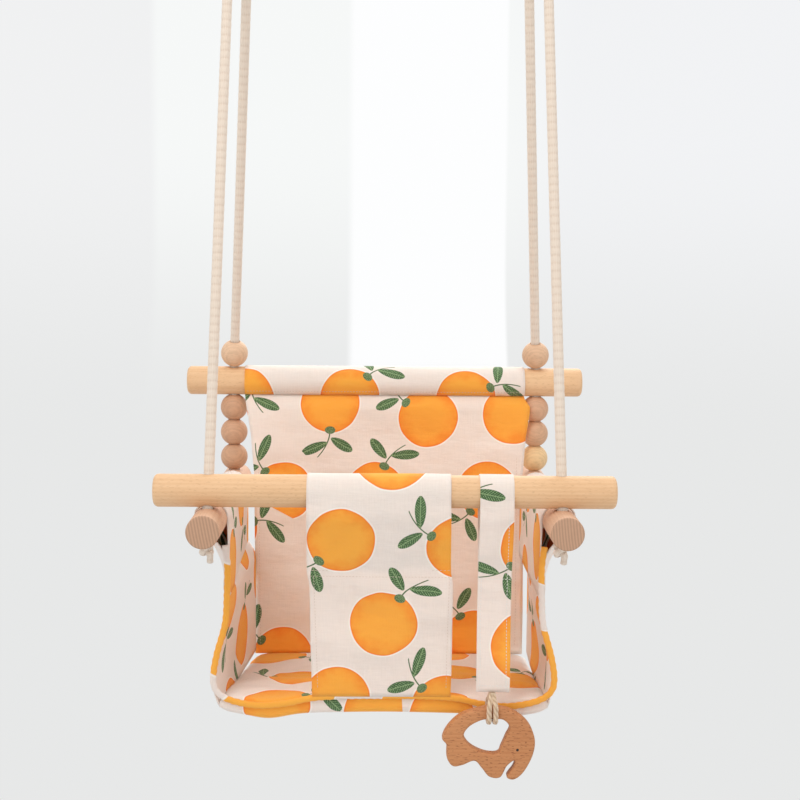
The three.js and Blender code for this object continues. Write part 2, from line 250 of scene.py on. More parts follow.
def nearest_group():
    """Keeps whichever is nearer: the fruit found so far, or the one placed by these inputs."""
    group, paint, (best, place, centre, turn, shape, half), give = new_group("nearest_fruit", (
        ("Best", "NodeSocketVector"), ("Place", "NodeSocketVector"), ("Centre", "NodeSocketVector"),
        ("Turn", "NodeSocketFloat"), ("Shape", "NodeSocketVector"), ("Half Tile", "NodeSocketVector"),
    ), "Best", "NodeSocketVector")
    away = paint.vector("SUBTRACT", place, centre)
    low = paint.vector("MULTIPLY", half, (-1.0, -1.0, -1.0))
    away = paint.node("ShaderNodeVectorMath", {"operation": "WRAP"}, {0: away, 1: half, 2: low})
    away = paint.node(
        "ShaderNodeVectorRotate", {"rotation_type": "Z_AXIS"}, {"Vector": away, "Angle": turn},
    )
    away = paint.vector("MULTIPLY", away, shape)
    nearer = paint.math(
        "LESS_THAN", paint.vector("LENGTH", away, out=1), paint.vector("LENGTH", best, out=1),
    )
    give(paint.node("ShaderNodeMix", {"data_type": "VECTOR"}, {0: nearer, 4: best, 5: away}, 1))
    return group


def fruit_group():
    """One orange with its cap, stem and two leaves, laid over the colour that comes in."""
    group, paint, (spot, place, ground), give = new_group("fruit", (
        ("Spot", "NodeSocketVector"), ("Place", "NodeSocketVector"), ("Ground", "NodeSocketColor"),
    ), "Colour", "NodeSocketColor")
    spot = paint.vector("ADD", spot, (0.0, MOTIF_MIDDLE, 0.0))
    x, y, _ = paint.parts(spot)
    wobble = (paint.noise(place, 32.0, 1.0) - 0.5) * FRUIT_WOBBLE
    blotch = paint.noise(place, 60.0, 3.0, 0.6)

    reach = paint.vector("LENGTH", spot, out=1) + wobble
    halo = paint.step(reach, ORANGE_R + 0.0017, ORANGE_R + 0.0009)
    colour = paint.mix(halo, ground, HALO)
    fruit = paint.step(reach, ORANGE_R + 0.0003, ORANGE_R - 0.0003)
    shade = paint.step(reach + (blotch - 0.5) * 0.030, ORANGE_R * 0.50, ORANGE_R * 1.15)
    rim = paint.step(reach + (blotch - 0.5) * 0.002, ORANGE_R - 0.0022, ORANGE_R - 0.0006)
    flesh = paint.mix(rim, paint.mix(shade, ORANGE, ORANGE_DEEP), ORANGE_EDGE)
    colour = paint.mix(fruit, colour, flesh)

    speck = paint.step(paint.noise(spot, 900.0, 2.0, 0.7), 0.42, 0.54)
    up = y - STALK
    bend = paint.math("ABSOLUTE", x - up * up * 15.2)
    stem = paint.step(bend, 0.0008, 0.0005)
    stem = stem * paint.step(up, 0.0, 0.001) * paint.step(up, 0.0300, 0.0290)
    colour = paint.mix(stem, colour, (0.075, 0.150, 0.050))

    leaves = ((-0.0010, 0.0090, 2.59, 0.0265, 0.0054), (0.0030, 0.0135, 0.42, 0.0300, 0.0052))
    for base_x, base_y, angle, length, width in leaves:
        cos, sin = math.cos(angle), math.sin(angle)
        dx, dy = x - base_x, up - base_y
        along = dx * cos + dy * sin
        across = paint.math("ABSOLUTE", dy * cos - dx * sin)
        share = along / length
        belly = paint.math("MAXIMUM", share * (1.0 - share), 0.0)
        edge = (belly ** 0.62) * (width * 2.36) * (0.82 + 0.30 * share)
        inside = paint.step(across - edge, 0.0003, -0.0002)
        inside = inside * paint.step(share, 0.0, 0.01) * paint.step(share, 1.0, 0.99)
        vein = paint.step(across, 0.0006, 0.0003)
        ribs = paint.math("SINE", (along - across * 0.9) * 2600.0)
        light = paint.math("MAXIMUM", paint.step(ribs, 0.0, 0.5) * speck * 0.85, vein * 0.7)
        colour = paint.mix(inside, colour, paint.mix(light, GREEN, GREEN_LIGHT))

    cap = paint.vector("LENGTH", paint.join(x / 0.0055, (up - 0.0005) / 0.0040), out=1)
    cap = paint.step(cap + wobble * 60.0, 1.06, 0.96)
    give(paint.mix(cap, colour, paint.mix(speck * 0.5, (0.060, 0.125, 0.045), GREEN_LIGHT)))
    return group


NEAREST, FRUIT = nearest_group(), fruit_group()
ONCE = (20.0, 20.0, 20.0)


def printed(paint, place, fruits, tile=ONCE):
    """The printed colour: cream ground with the listed fruits, each (x, y, turn, flip)."""
    slub = paint.noise(paint.stretched(place, (60.0, 900.0, 1.0)), 1.0, 3.0)
    warp = paint.noise(paint.stretched(place, (900.0, 60.0, 1.0)), 1.0, 3.0)
    thread = paint.step((slub + warp) * 0.5, 0.36, 0.64)
    ground = paint.mix(thread, tuple(c * 0.975 for c in CREAM), tuple(c * 1.015 for c in CREAM))
    best = (9.0, 9.0, 0.0)
    for x, y, turn, flip in fruits:
        centre = (x + MOTIF_MIDDLE * math.sin(turn), y + MOTIF_MIDDLE * math.cos(turn), 0.0)
        best = paint.node("ShaderNodeGroup", {"node_tree": NEAREST}, {
            "Best": best, "Place": place, "Centre": centre, "Turn": turn,
            "Shape": (flip, 1.0, 1.0), "Half Tile": tuple(t / 2 for t in tile),
        })
    colour = paint.node(
        "ShaderNodeGroup", {"node_tree": FRUIT}, {"Spot": best, "Place": place, "Ground": ground},
    )
    return colour, thread


THREAD_PITCH = 0.00062


def canvas(name, fruits, tile=ONCE):
    """Printed cotton canvas, plain woven, read from the cloth's own map in metres."""
    material, paint, surface = new_material(
        name, Roughness=0.93, Sheen_Weight=0.10, Sheen_Roughness=0.6, Subsurface_Weight=0.35,
        Subsurface_Scale=0.0028, Subsurface_Radius=(1.0, 0.80, 0.70), Specular_IOR_Level=0.18,
    )
    place = cloth_uv(paint)
    colour, thread = printed(paint, place, fruits, tile)
    x, y, _ = paint.parts(place)
    turn = 2 * math.pi / THREAD_PITCH
    weft = paint.math("SINE", x * turn)
    warp = paint.math("SINE", y * turn)
    weave = weft * warp * 0.5 + 0.5
    height = weave * 0.6 + thread * 0.5
    colour = paint.mix(weave * 0.07, colour, (0.55, 0.42, 0.34))
    tilted = paint.node("ShaderNodeMapping", None, {
        "Vector": place, "Rotation": (0.0, 0.0, 0.5), "Scale": (16.0, 38.0, 1.0),
    })
    creases = paint.noise(tilted, 1.0, 3.0, 0.5)
    normal = paint.bump(creases, 0.0060, 0.55)
    normal = paint.bump(height, 0.00018, 0.8, normal)
    feed(paint, surface, Base_Color=colour, Normal=normal)
    return material


# Fruits on each piece of cloth: place across, place along, turn and flip.
DOWN = math.pi
SLEEVE = 1.0  # how far up its map the backrest sleeve's print starts
BACK_FRUITS = (
    (-0.1495, SLEEVE, -0.2, 1), (-0.0370, SLEEVE, 0.70, 1), (0.0860, SLEEVE - 0.002, 1.1, 1),
    (-0.0580, 0.0880, DOWN, 1), (-0.1420, 0.1350, DOWN, -1), (0.0460, 0.0730, -0.97, 1),
    (0.1350, 0.0770, -0.3, 1), (-0.1070, -0.0060, -0.75, 1), (-0.0100, -0.0060, 0.35, 1),
    (0.1090, -0.0040, -2.5, 1), (-0.1070, -0.1840, -0.95, 1), (-0.1760, 0.0780, 0.0, 1),
    (0.0200, -0.1300, 0.4, 1), (0.0960, -0.1650, -0.5, -1), (-0.1660, -0.0450, 1.32, 1),
)
REPEAT_FRUITS = (
    (0.020, 0.030, 0.3, 1), (0.108, 0.078, 2.6, 1), (0.030, 0.128, -1.1, -1),
    (0.130, 0.168, 1.2, 1),
)
REPEAT_TILE = (0.182, 0.196, 20.0)
CROTCH_FRUITS = (
    (-0.0400, -0.0100, -2.36, 1), (0.0680, -0.0170, -1.14, 1), (-0.0007, -0.0935, 0.53, 1),
    (-0.0440, -0.1680, 2.9, 1), (0.0570, -0.1760, -0.85, 1), (0.0058, 0.0690, 0.0, 1),
)
STRAP_FRUITS = (
    (0.1290, -0.1130, 1.2, 1), (0.1356, -0.0165, -2.36, 1), (0.0520, 0.0030, 0.62, 1),
)
SEAT_FRUITS = (
    (-0.112, 0.075, 1.9, 1), (-0.082, -0.035, -1.2, 1), (0.070, -0.010, 2.3, -1),
    (0.128, -0.035, 0.3, 1), (-0.005, 0.040, 0.9, 1), (0.060, 0.085, -0.9, 1),
    (-0.100, -0.112, 1.2, 1), (-0.006, -0.120, 2.9, 1), (0.055, -0.125, -2.2, -1),
)


# ---------- other materials ----------


def tinted(colour, share):
    return tuple(c * share for c in colour)


def beech(name, light, dark, fleck, grain_axis, seed=0.0, flecks=0.20, ends=None):
    """Planed wood: long grain along one axis, rings on the ends, and short flecks."""
    material, paint, surface = new_material(
        name, Coat_Weight=0.05, Coat_Roughness=0.45, Specular_IOR_Level=0.35,
    )
    place = object_place(paint)
    place = paint.vector("ADD", place, (seed, seed * 0.7, seed * 1.3))
    squeeze = [1.0, 1.0, 1.0]
    squeeze[grain_axis] = 0.07
    along = paint.stretched(place, tuple(squeeze))
    drift = paint.noise(along, 9.0, 2.0)
    parts = paint.parts(place)
    off = [parts[i] for i in range(3) if i != grain_axis]
    distance = paint.vector("LENGTH", paint.join(off[0] + 0.037, off[1] * 0.8 + 0.021), out=1)
    rings = paint.math("SINE", (distance + drift * 0.012) * 2300.0) * 0.5 + 0.5
    streak = paint.noise(along, 330.0, 3.0, 0.6)
    fine = paint.noise(along, 1500.0, 2.0, 0.6)
    cloudy = paint.noise(place, 14.0, 2.0)
    depth = rings * 0.16 + streak * 0.46 + cloudy * 0.46
    colour = paint.mix(paint.step(depth, 0.22, 0.92), light, dark)
    squeeze[grain_axis] = 0.22
    dash = paint.noise(paint.stretched(place, tuple(squeeze)), 1150.0, 0.0)
    dash = paint.step(dash, 0.655, 0.70)
    colour = paint.mix(dash * flecks, colour, fleck)
    colour = paint.mix(paint.step(fine, 0.60, 0.80) * 0.15, colour, fleck)
    if ends:
        axis_place = paint.parts(object_place(paint))[grain_axis]
        away = paint.math("ABSOLUTE", axis_place - ends[0])
        face = paint.step(away, ends[1] - 0.0016, ends[1] - 0.0011)
        sawn = paint.mix(rings * 0.7 + streak * 0.3, tinted(dark, 0.92), tinted(dark, 0.62))
        colour = paint.mix(face, colour, sawn)
    height = fine * 0.5 + rings * 0.3 - dash * 0.6
    feed(
        paint, surface, Base_Color=colour, Roughness=0.50 + streak * 0.16,
        Normal=paint.bump(height, 0.00012, 0.55),
    )
    return material


def rope_material(name, valley_shade, crest):
    """Unbleached cotton, with the yarns' own twist showing on each strand, and painted shade where the braid
    and weave sink.
    """
    material, paint, surface = new_material(
        name, Roughness=0.95, Sheen_Weight=0.25, Sheen_Roughness=0.5, Specular_IOR_Level=0.15,
    )
    place = cloth_uv(paint)
    x, y, _ = paint.parts(place)
    crown = paint.node("ShaderNodeAttribute", {"attribute_name": "crown"}, out=2)
    fuzz = paint.noise(object_place(paint), 1400.0, 3.0, 0.65)
    ply = paint.math("SINE", (x + y * 0.6) * 7200.0) * 0.5 + 0.5
    turn = y * (8 / ROPE_R)
    rise = x * 2600.0
    weave = paint.math("SINE", turn + rise) * paint.math("SINE", turn - rise) * 0.5 + 0.5
    # Painted shade: darker where the crown is low, between the braid's strands and the twine's turns.
    colour = paint.mix(paint.step(crown, 0.0, 0.85), valley_shade, crest)
    # Painted shade: the weave's sunken spots, lowered by the bump below, are darkened too.
    colour = paint.mix(weave * 0.30, colour, valley_shade)
    colour = paint.mix(fuzz * 0.25, colour, valley_shade)
    feed(
        paint, surface, Base_Color=colour,
        Normal=paint.bump(ply * 0.3 + fuzz * 0.6 - weave * 0.9, 0.00030, 0.8),
    )
    return material


def piping_material():
    """The printed canvas folded into a binding, so that the print shows as lengths of colour."""
    material, paint, surface = new_material(
        "binding", Roughness=0.92, Sheen_Weight=0.12, Specular_IOR_Level=0.18,
    )
    place = cloth_uv(paint)
    x, y, _ = paint.parts(place)
    length = x + y * 0.35
    band = paint.noise(paint.join(length + 0.155, 0.0), 15.0, 0.0)
    filled = paint.step(band, 0.405, 0.413)
    colour = paint.mix(filled, CREAM, (1.000, 0.455, 0.070))
    edge = paint.step(paint.math("ABSOLUTE", band - 0.409), 0.014, 0.006) * (1.0 - filled)
    colour = paint.mix(edge, colour, HALO)
    turn = 2 * math.pi / THREAD_PITCH
    weave = paint.math("SINE", x * turn) * paint.math("SINE", y * turn)
    pucker = paint.noise(paint.stretched(place, (420.0, 60.0, 1.0)), 1.0, 2.0)
    normal = paint.bump(weave * 0.25 + pucker * 1.2, 0.0005, 0.7)
    feed(paint, surface, Base_Color=colour, Normal=normal)
    return material


def steel_material():
    material, paint, surface = new_material("plated_steel", Metallic=1.0)
    place = object_place(paint)
    grime = paint.noise(place, 120.0, 4.0, 0.6)
    scratch = paint.noise(paint.stretched(place, (90.0, 1800.0, 1800.0)), 1.0, 2.0)
    colour = paint.mix(grime, (0.62, 0.63, 0.64), (0.80, 0.81, 0.82))
    feed(
        paint, surface, Base_Color=colour, Roughness=0.22 + grime * 0.18,
        Normal=paint.bump(scratch, 0.00003, 0.5),
    )
    return material


def thread_material(name, colour):
    material, paint, surface = new_material(name, Roughness=0.8, Sheen_Weight=0.2)
    twist = paint.noise(object_place(paint), 2600.0, 2.0)
    shade = paint.mix(twist, tinted(colour, 0.75), colour)
    feed(paint, surface, Base_Color=shade, Normal=paint.bump(twist, 0.0001, 0.6))
    return material


BAR_LIGHT, BAR_DARK, BAR_FLECK = (0.820, 0.545, 0.320), (0.700, 0.430, 0.230), (0.420, 0.220, 0.105)
ROPE = rope_material("cotton_rope", (0.660, 0.530, 0.425), (0.845, 0.745, 0.645))
CORD_COTTON = rope_material("cotton_cord", (0.560, 0.380, 0.240), (0.850, 0.690, 0.510))
BINDING = piping_material()
STEEL = steel_material()
WHITE_THREAD = thread_material("white_thread", (0.92, 0.88, 0.84))
PALE_THREAD = thread_material("pale_thread", (0.78, 0.62, 0.52))
EYE_DARK = thread_material("burnt_eye", (0.020, 0.014, 0.012))


# ---------- meshes ----------


def linked(name, data):
    """A new object of the given data, in the scene."""
    made = bpy.data.objects.new(name, data)
    bpy.context.scene.collection.objects.link(made)
    return made


def plain_mesh(thing):
    """What an object looks like with its modifiers, as a mesh of its own."""
    bpy.context.view_layer.update()
    graph = bpy.context.evaluated_depsgraph_get()
    return bpy.data.meshes.new_from_object(thing.evaluated_get(graph), depsgraph=graph)


def grid_faces(rows, columns, round_rows=False, round_columns=False):
    """Faces over a grid of points, which may close on itself either way."""
    faces = []
    for i in range(rows if round_rows else rows - 1):
        n = (i + 1) % rows
        for j in range(columns if round_columns else columns - 1):
            k = (j + 1) % columns
            faces.append((i * columns + j, i * columns + k, n * columns + k, n * columns + j))
    return faces


def mesh_object(name, points, faces, uvs=None, crowns=None):
    mesh = bpy.data.meshes.new(name)
    mesh.from_pydata([tuple(p) for p in points], [], faces)
    if uvs is not None:
        layer = mesh.uv_layers.new(name="cloth")
        corners = np.array([v for face in faces for v in face])
        layer.data.foreach_set("uv", np.asarray(uvs, np.float32)[corners].ravel())
    if crowns is not None:
        mesh.attributes.new("crown", "FLOAT", "POINT").data.foreach_set(
            "value", np.asarray(crowns, np.float32)
        )
    mesh.update()
    mesh.polygons.foreach_set("use_smooth", [True] * len(mesh.polygons))
    return linked(name, mesh)


def finish_piece(piece, material, body, nodes=()):
    piece.data.materials.clear()
    piece.data.materials.append(material)
    if nodes:
        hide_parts(*nodes)
    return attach(piece, body)


def solid(piece, thickness):
    """Gives a sheet its thickness, half to each side."""
    wall = piece.modifiers.new("wall", "SOLIDIFY")
    wall.thickness, wall.offset, wall.use_even_offset = thickness, 0.0, False
    return baked(piece)


def baked(piece):
    """The piece with its modifiers applied, as a plain mesh."""
    mesh = plain_mesh(piece)
    old = piece.data
    piece.modifiers.clear()
    piece.data = mesh
    mesh.name = piece.name
    bpy.data.meshes.remove(old)
    return piece


def spline(points, count):
    """Points evenly spaced along a smooth line through the given ones (Catmull-Rom)."""
    given = np.array([tuple(p) for p in points], float)
    padded = np.vstack([2 * given[0] - given[1], given, 2 * given[-1] - given[-2]])
    out = []
    for i in range(1, len(padded) - 2):
        a, b, c, d = padded[i - 1:i + 3]
        for t in np.linspace(0, 1, 24, endpoint=False):
            out.append(0.5 * (
                2 * b + (c - a) * t + (2 * a - 5 * b + 4 * c - d) * t * t
                + (3 * b - a - 3 * c + d) * t ** 3
            ))
    out.append(given[-1])
    return resample(np.array(out), count)


def resample(line, count):
    reach = lengths(line)
    wanted = np.linspace(0, reach[-1], count)
    return np.stack([np.interp(wanted, reach, line[:, k]) for k in range(line.shape[1])], 1)


def lengths(line):
    return np.concatenate([[0], np.cumsum(np.linalg.norm(np.diff(line, axis=0), axis=1))])


def frames(line, first):
    """Two directions square to the line at each point, turning as little as they can."""
    tangents = np.gradient(line, axis=0)
    tangents /= np.linalg.norm(tangents, axis=1)[:, None]
    side = np.cross(tangents[0], first)
    if np.linalg.norm(side) < 1e-3:
        side = np.cross(tangents[0], (1, 0, 0))
    sides = []
    for tangent in tangents:
        side = side - tangent * np.dot(side, tangent)
        side /= np.linalg.norm(side)
        sides.append(side.copy())
    sides = np.array(sides)
    return sides, np.cross(tangents, sides)


def tube(name, line, radius, around=24, relief=None, first=(0, 0, 1), ends=True):
    """A closed tube. relief(along, angle) gives the surface's height over the radius, and a crown."""
    line = np.array([tuple(p) for p in line], float)
    reach = lengths(line)
    sides, ups = frames(line, first)
    angles = np.arange(around) * 2 * math.pi / around
    along, angle = np.meshgrid(reach, angles, indexing="ij")
    radii = np.broadcast_to(np.asarray(radius, float).reshape(-1, 1), along.shape).copy()
    crown = np.ones_like(along)
    if relief is not None:
        height, crown = relief(along, angle)
        radii += height
    ring = (
        line[:, None, :]
        + radii[..., None] * np.cos(angle)[..., None] * sides[:, None, :]
        + radii[..., None] * np.sin(angle)[..., None] * ups[:, None, :]
    )
    rows = len(line)
    points = ring.reshape(-1, 3)
    mean = float(np.mean(radius))
    uv_x, uv_y = along.ravel(), (angle * mean).ravel()
    faces = grid_faces(rows, around, round_columns=True)
    points = np.vstack([points, line[0], line[-1]])
    uvs = np.vstack([np.stack([uv_x, uv_y], 1), [0, 0], [reach[-1], 0]])
    crown = np.concatenate([crown.ravel(), [1, 1]])
    if ends:
        first_hub, last_hub = rows * around, rows * around + 1
        for j in range(around):
            k = (j + 1) % around
            faces.append((first_hub, j, k))
            faces.append((last_hub, (rows - 1) * around + k, (rows - 1) * around + j))
    return outward(mesh_object(name, points, faces, uvs, crown))


def outward(piece, merge=0.0, slivers=0.0):
    """Closes up a mesh, and turns every face to point out of it."""
    work = bmesh.new()
    work.from_mesh(piece.data)
    if merge:
        loose = [v for v in work.verts if not v.link_faces]
        bmesh.ops.delete(work, geom=loose, context="VERTS")
        bmesh.ops.remove_doubles(work, verts=work.verts, dist=merge)
    if slivers:
        bmesh.ops.dissolve_degenerate(work, edges=work.edges, dist=slivers)
    bmesh.ops.recalc_face_normals(work, faces=work.faces)
    work.to_mesh(piece.data)
    work.free()
    return piece


def lathe(name, profile, segments=48):
    """A turned solid from (radius, height) points, closed on itself where it starts off the axis."""
    profile = np.array(profile, float)
    angles = np.arange(segments) * 2 * math.pi / segments
    hollow = profile[0][0] > 1e-9
    radius, height = profile[:, 0], profile[:, 1]
    points = np.stack([
        np.outer(radius, np.cos(angles)), np.outer(radius, np.sin(angles)),
        np.repeat(height[:, None], segments, 1),
    ], 2).reshape(-1, 3)
    faces = grid_faces(len(profile), segments, hollow, True)
    return outward(mesh_object(name, points, faces), 1e-6, 1e-7)


def rounded_profile(radius, half, corner, steps=6):
    """Half of a round bar's outline, from one end's middle to the other's, with rounded corners."""
    points = [(0.0, -half)]
    for i in range(steps + 1):
        angle = -math.pi / 2 + i / steps * math.pi / 2
        points.append((
            radius - corner + corner * math.cos(angle), -half + corner + corner * math.sin(angle),
        ))
    mirrored = [(r, -z) for r, z in reversed(points)]
    return points + mirrored


def cut_holes(piece, cutters):
    for i, cutter in enumerate(cutters):
        cut = piece.modifiers.new(f"hole_{i}", "BOOLEAN")
        cut.operation, cut.object, cut.solver = "DIFFERENCE", cutter, "EXACT"
    baked(piece)
    for cutter in cutters:
        bpy.data.objects.remove(cutter)


def smooth_by_angle(piece, degrees):
    mesh = piece.data
    mesh.polygons.foreach_set("use_smooth", [True] * len(mesh.polygons))
    mesh.set_sharp_from_angle(angle=math.radians(degrees))


# ---------- camera ----------

CAMERA_BACK = 1.33276  # from the front bar's rope line to the lens
CAMERA_X = -0.00712
CAMERA_H = 0.24298
CAMERA_TURN = (math.radians(0.84414), math.radians(5.51875), math.radians(0.45261))
FOCAL_SHARE = 1486 / 800  # focal length over picture width
SENSOR = 36.0


def place_camera():
    data = bpy.data.cameras.new("camera")
    data.sensor_width = SENSOR
    data.lens = SENSOR * FOCAL_SHARE
    data.clip_end = 50
    camera = linked("camera", data)
    yaw, pitch, roll = CAMERA_TURN
    ahead = Vector((
        math.sin(yaw) * math.cos(pitch), math.cos(yaw) * math.cos(pitch), -math.sin(pitch),
    ))
    aside = ahead.cross(Vector((0, 0, 1))).normalized()
    above = aside.cross(ahead)
    aside, above = (
        aside * math.cos(roll) + above * math.sin(roll), above * math.cos(roll) - aside * math.sin(roll),
    )
    turned = camera.matrix_world.to_3x3()
    for row in range(3):
        turned[row][0], turned[row][1], turned[row][2] = aside[row], above[row], -ahead[row]
    camera.matrix_world = turned.to_4x4()
    camera.location = at(CAMERA_X, FRONT_HOLE_Y - CAMERA_BACK, CAMERA_H)
    bpy.context.scene.camera = camera


place_camera()


# ---------- ropes ----------

BRAID_PITCH = 0.0150
BRAID_STRANDS = 6
BRAID_STEP = 0.0009


def braid(along, angle):
    """Strands that cross in both directions, each rising where it passes over."""
    one = BRAID_STRANDS * angle + 2 * math.pi * along / BRAID_PITCH
    other = BRAID_STRANDS * angle - 2 * math.pi * along / BRAID_PITCH
    bump = np.abs(np.cos(one / 2) * np.cos(other / 2)) ** 0.8
    cross = np.abs(np.sin(one / 2) * np.sin(other / 2)) ** 0.8
    height = np.maximum(bump, cross)
    # The crown given back here sets the rope's painted shade, darkest where the strands sink.
    return (height - 0.75) * 0.0006, height


def braided(name, line, radius, around=36):
    count = int(lengths(line)[-1] / BRAID_STEP)
    return tube(name, resample(line, count), radius, around, braid, (1, 0, 0))


def rope_ends(end, side, sign):
    """Where a rope starts, bends and stops: under its bar, at the bend, and at the whipping."""
    knot_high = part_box(f"knot_{end}_{side}")[1]
    bend_h = BAR_R if end == "front" else REAR_H + BAR_R
    hole_y = FRONT_HOLE_Y if end == "front" else REAR_BAR.y
    low = Vector((sign * HOLE_X, hole_y, knot_high.z))
    bend = at(sign * HOLE_X, hole_y, bend_h)
    return low, bend, Vector((middle(f"eye_{end}_{side}").x, 0, 0))


EYE_DROP = 0.038
WHIPPING_LENGTH = 0.026
WHIPPING_R = 0.0062
LEG_SPREAD = 0.0051
ROPE_BEND = 0.005


def make_rope(end, side, sign):
    low, bend, high = rope_ends(end, side, sign)
    up = (high - bend).normalized()
    top = high - up * (EYE_DROP + WHIPPING_LENGTH + 0.0009)
    before, after = bend - Vector((0, 0, ROPE_BEND)), bend + up * ROPE_BEND
    curve = [
        before * (1 - t) ** 2 + bend * (2 * t * (1 - t)) + after * t * t
        for t in (0.0, 0.25, 0.5, 0.75, 1.0)
    ]
    line = np.array([tuple(p) for p in [low, *curve, top]])
    piece = braided(f"braided_rope_{end}_{side}", line, ROPE_R)
    finish_piece(piece, ROPE, "seat", [f"rope_{end}_{side}"])
    return piece, line, low


def eye_matrix(end, side, sign):
    """Turns an eye that stands upright at the origin to lie along its rope."""
    _, bend, high = rope_ends(end, side, sign)
    up = (high - bend).normalized()
    lean = math.atan2(-up.y, up.z)
    return high, lean


def lean_points(points, high, lean):
    cos, sin = math.cos(lean), math.sin(lean)
    turned = [(x, y * cos - z * sin, y * sin + z * cos) for x, y, z in points]
    return [Vector(p) + high for p in turned]


def make_eye(end, side, sign):
    high, lean = eye_matrix(end, side, sign)
    over = WIRE_R + 0.0003 + ROPE_R
    points = [(0, -LEG_SPREAD, -EYE_DROP), (0, -LEG_SPREAD, -EYE_DROP + 0.007)]
    for i in range(9):
        angle = math.pi * 1.08 - i / 8 * math.pi * 1.16
        points.append((0, over * math.cos(angle), over * math.sin(angle)))
    points += [(0, LEG_SPREAD, -EYE_DROP + 0.007), (0, LEG_SPREAD, -EYE_DROP)]
    line = spline(lean_points(points, high, lean), 110)
    piece = braided(f"rope_eye_{end}_{side}", line, ROPE_R * 0.97)
    return finish_piece(piece, ROPE, "seat", [f"eye_{end}_{side}"])


WHIPPING_TURNS = 22


def make_whipping(end, side, sign):
    """Whipping twine in close turns round both legs of the eye."""
    high, lean = eye_matrix(end, side, sign)
    rows, around = WHIPPING_TURNS * 4, 48
    points = []
    for i in range(rows + 1):
        z = -EYE_DROP - 0.0003 - WHIPPING_LENGTH * i / rows
        groove = abs(math.sin(math.pi * WHIPPING_TURNS * i / rows)) ** 0.6
        radius = WHIPPING_R - 0.0007 + 0.0006 * groove
        if i in (0, rows):
            radius -= 0.0008
        for j in range(around):
            angle = 2 * math.pi * j / around
            y = radius * math.cos(angle) + math.copysign(LEG_SPREAD, math.cos(angle)) * (
                min(1.0, abs(math.cos(angle)) * 6)
            )
            points.append((radius * math.sin(angle), y, z))
    faces = grid_faces(rows + 1, around, round_columns=True)
    faces.append(tuple(range(around)))
    faces.append(tuple(rows * around + j for j in reversed(range(around))))
    # The crown is low in the grooves between turns, where the rope material paints shade.
    crowns = [
        abs(math.sin(math.pi * WHIPPING_TURNS * (i // around) / rows)) for i in range(len(points))
    ]
    uvs = [(p[1], p[2]) for p in points]
    points = lean_points(points, high, lean)
    piece = outward(mesh_object(f"twine_whipping_{end}_{side}", points, faces, uvs, crowns))
    return finish_piece(piece, ROPE, "seat", [f"whipping_{end}_{side}"])


def make_knot(end, side, sign):
    """An overhand stopper knot with a short tail below it."""
    node = f"knot_{end}_{side}"
    centre, span = middle(node), half_size(node).x
    points = []
    for i in range(60):
        t = 0.30 + i / 59 * (2 * math.pi - 0.60)
        wide = 2.0 + math.cos(3 * t)
        points.append((
            span * 0.235 * wide * math.cos(2 * t), span * 0.235 * wide * math.sin(2 * t),
            span * 0.52 * math.sin(3 * t),
        ))
    line = [centre + Vector(p) for p in points]
    start, tail = centre + Vector((0, 0, half_size(node).z + 0.002)), centre + Vector((0.002, 0, -0.0125))
    line = spline([start, *line[2:-2], tail], 160)
    piece = braided(f"stopper_knot_{end}_{side}", line, 0.0030, around=20)
    return finish_piece(piece, ROPE, "seat", [f"knot_{end}_{side}"])


def make_ring(side):
    """A welded D-ring of plated wire, upright across the swing."""
    centre_x = middle(f"d_ring_{side}").x
    half, top, corner = 0.024, 0.012, 0.006
    bow = [(half * math.cos(a), top + half * math.sin(a)) for a in np.linspace(math.pi, 0, 29)]
    foot = [
        (half - corner + corner * math.cos(a), corner + corner * math.sin(a))
        for a in np.linspace(0, -math.pi / 2, 8)
    ]
    outline = bow + foot + [(-x, z) for x, z in reversed(foot)]
    line = np.array([(centre_x + x, 0.0, z) for x, z in outline + [bow[0]]])
    line = resample(line, 120)
    piece = tube(f"steel_d_ring_{side}", line, WIRE_R * 0.97, 20, first=(0, 1, 0), ends=False)
    outward(piece, merge=5e-4)
    return finish_piece(piece, STEEL, "hanger", [f"d_ring_{side}"])


for side_name, side_sign in SIDES:
    ring_piece = make_ring(side_name)
    for end_name in ("front", "rear"):
        rope_piece, rope_line, rope_exit = make_rope(end_name, side_name, side_sign)
        eye_piece = make_eye(end_name, side_name, side_sign)
        whipping_piece = make_whipping(end_name, side_name, side_sign)
        make_knot(end_name, side_name, side_sign)


# ---------- bars and beads ----------


BAR_BORE = 0.0058
LONG_BEVEL, SHORT_BEVEL = 0.0045, 0.0014


def make_bar(name, node, axis, half, holes, material, body, corner):
    profile = rounded_profile(BAR_R, half, corner)
    fine = [profile[0]]
    for (r0, z0), (r1, z1) in zip(profile, profile[1:]):
        parts = max(1, int(abs(z1 - z0) / 0.02))
        shares = [i / parts for i in range(1, parts + 1)]
        fine += [(r0 + (r1 - r0) * share, z0 + (z1 - z0) * share) for share in shares]
    bar = lathe(name, fine, 72)
    centre = middle(node)
    turn = {"X": ((0, 0, 1), (0, 1, 0), (-1, 0, 0)), "Y": ((1, 0, 0), (0, 0, 1), (0, -1, 0))}[axis]
    for vertex in bar.data.vertices:
        old = vertex.co.copy()
        vertex.co = Vector(tuple(old.dot(Vector(row)) for row in turn)) + centre
    outward(bar)
    cutters = []
    for place, direction in holes:
        reach = 2 * BAR_R
        cutter = lathe("cutter", [(0, -reach), (BAR_BORE, -reach), (BAR_BORE, reach), (0, reach)], 32)
        aim = Vector((0, 0, 1)).rotation_difference(direction)
        for vertex in cutter.data.vertices:
            vertex.co = aim @ vertex.co + place
        cutters.append(cutter)
    cut_holes(bar, cutters)
    smooth_by_angle(bar, 40)
    return finish_piece(bar, material, body, [node])


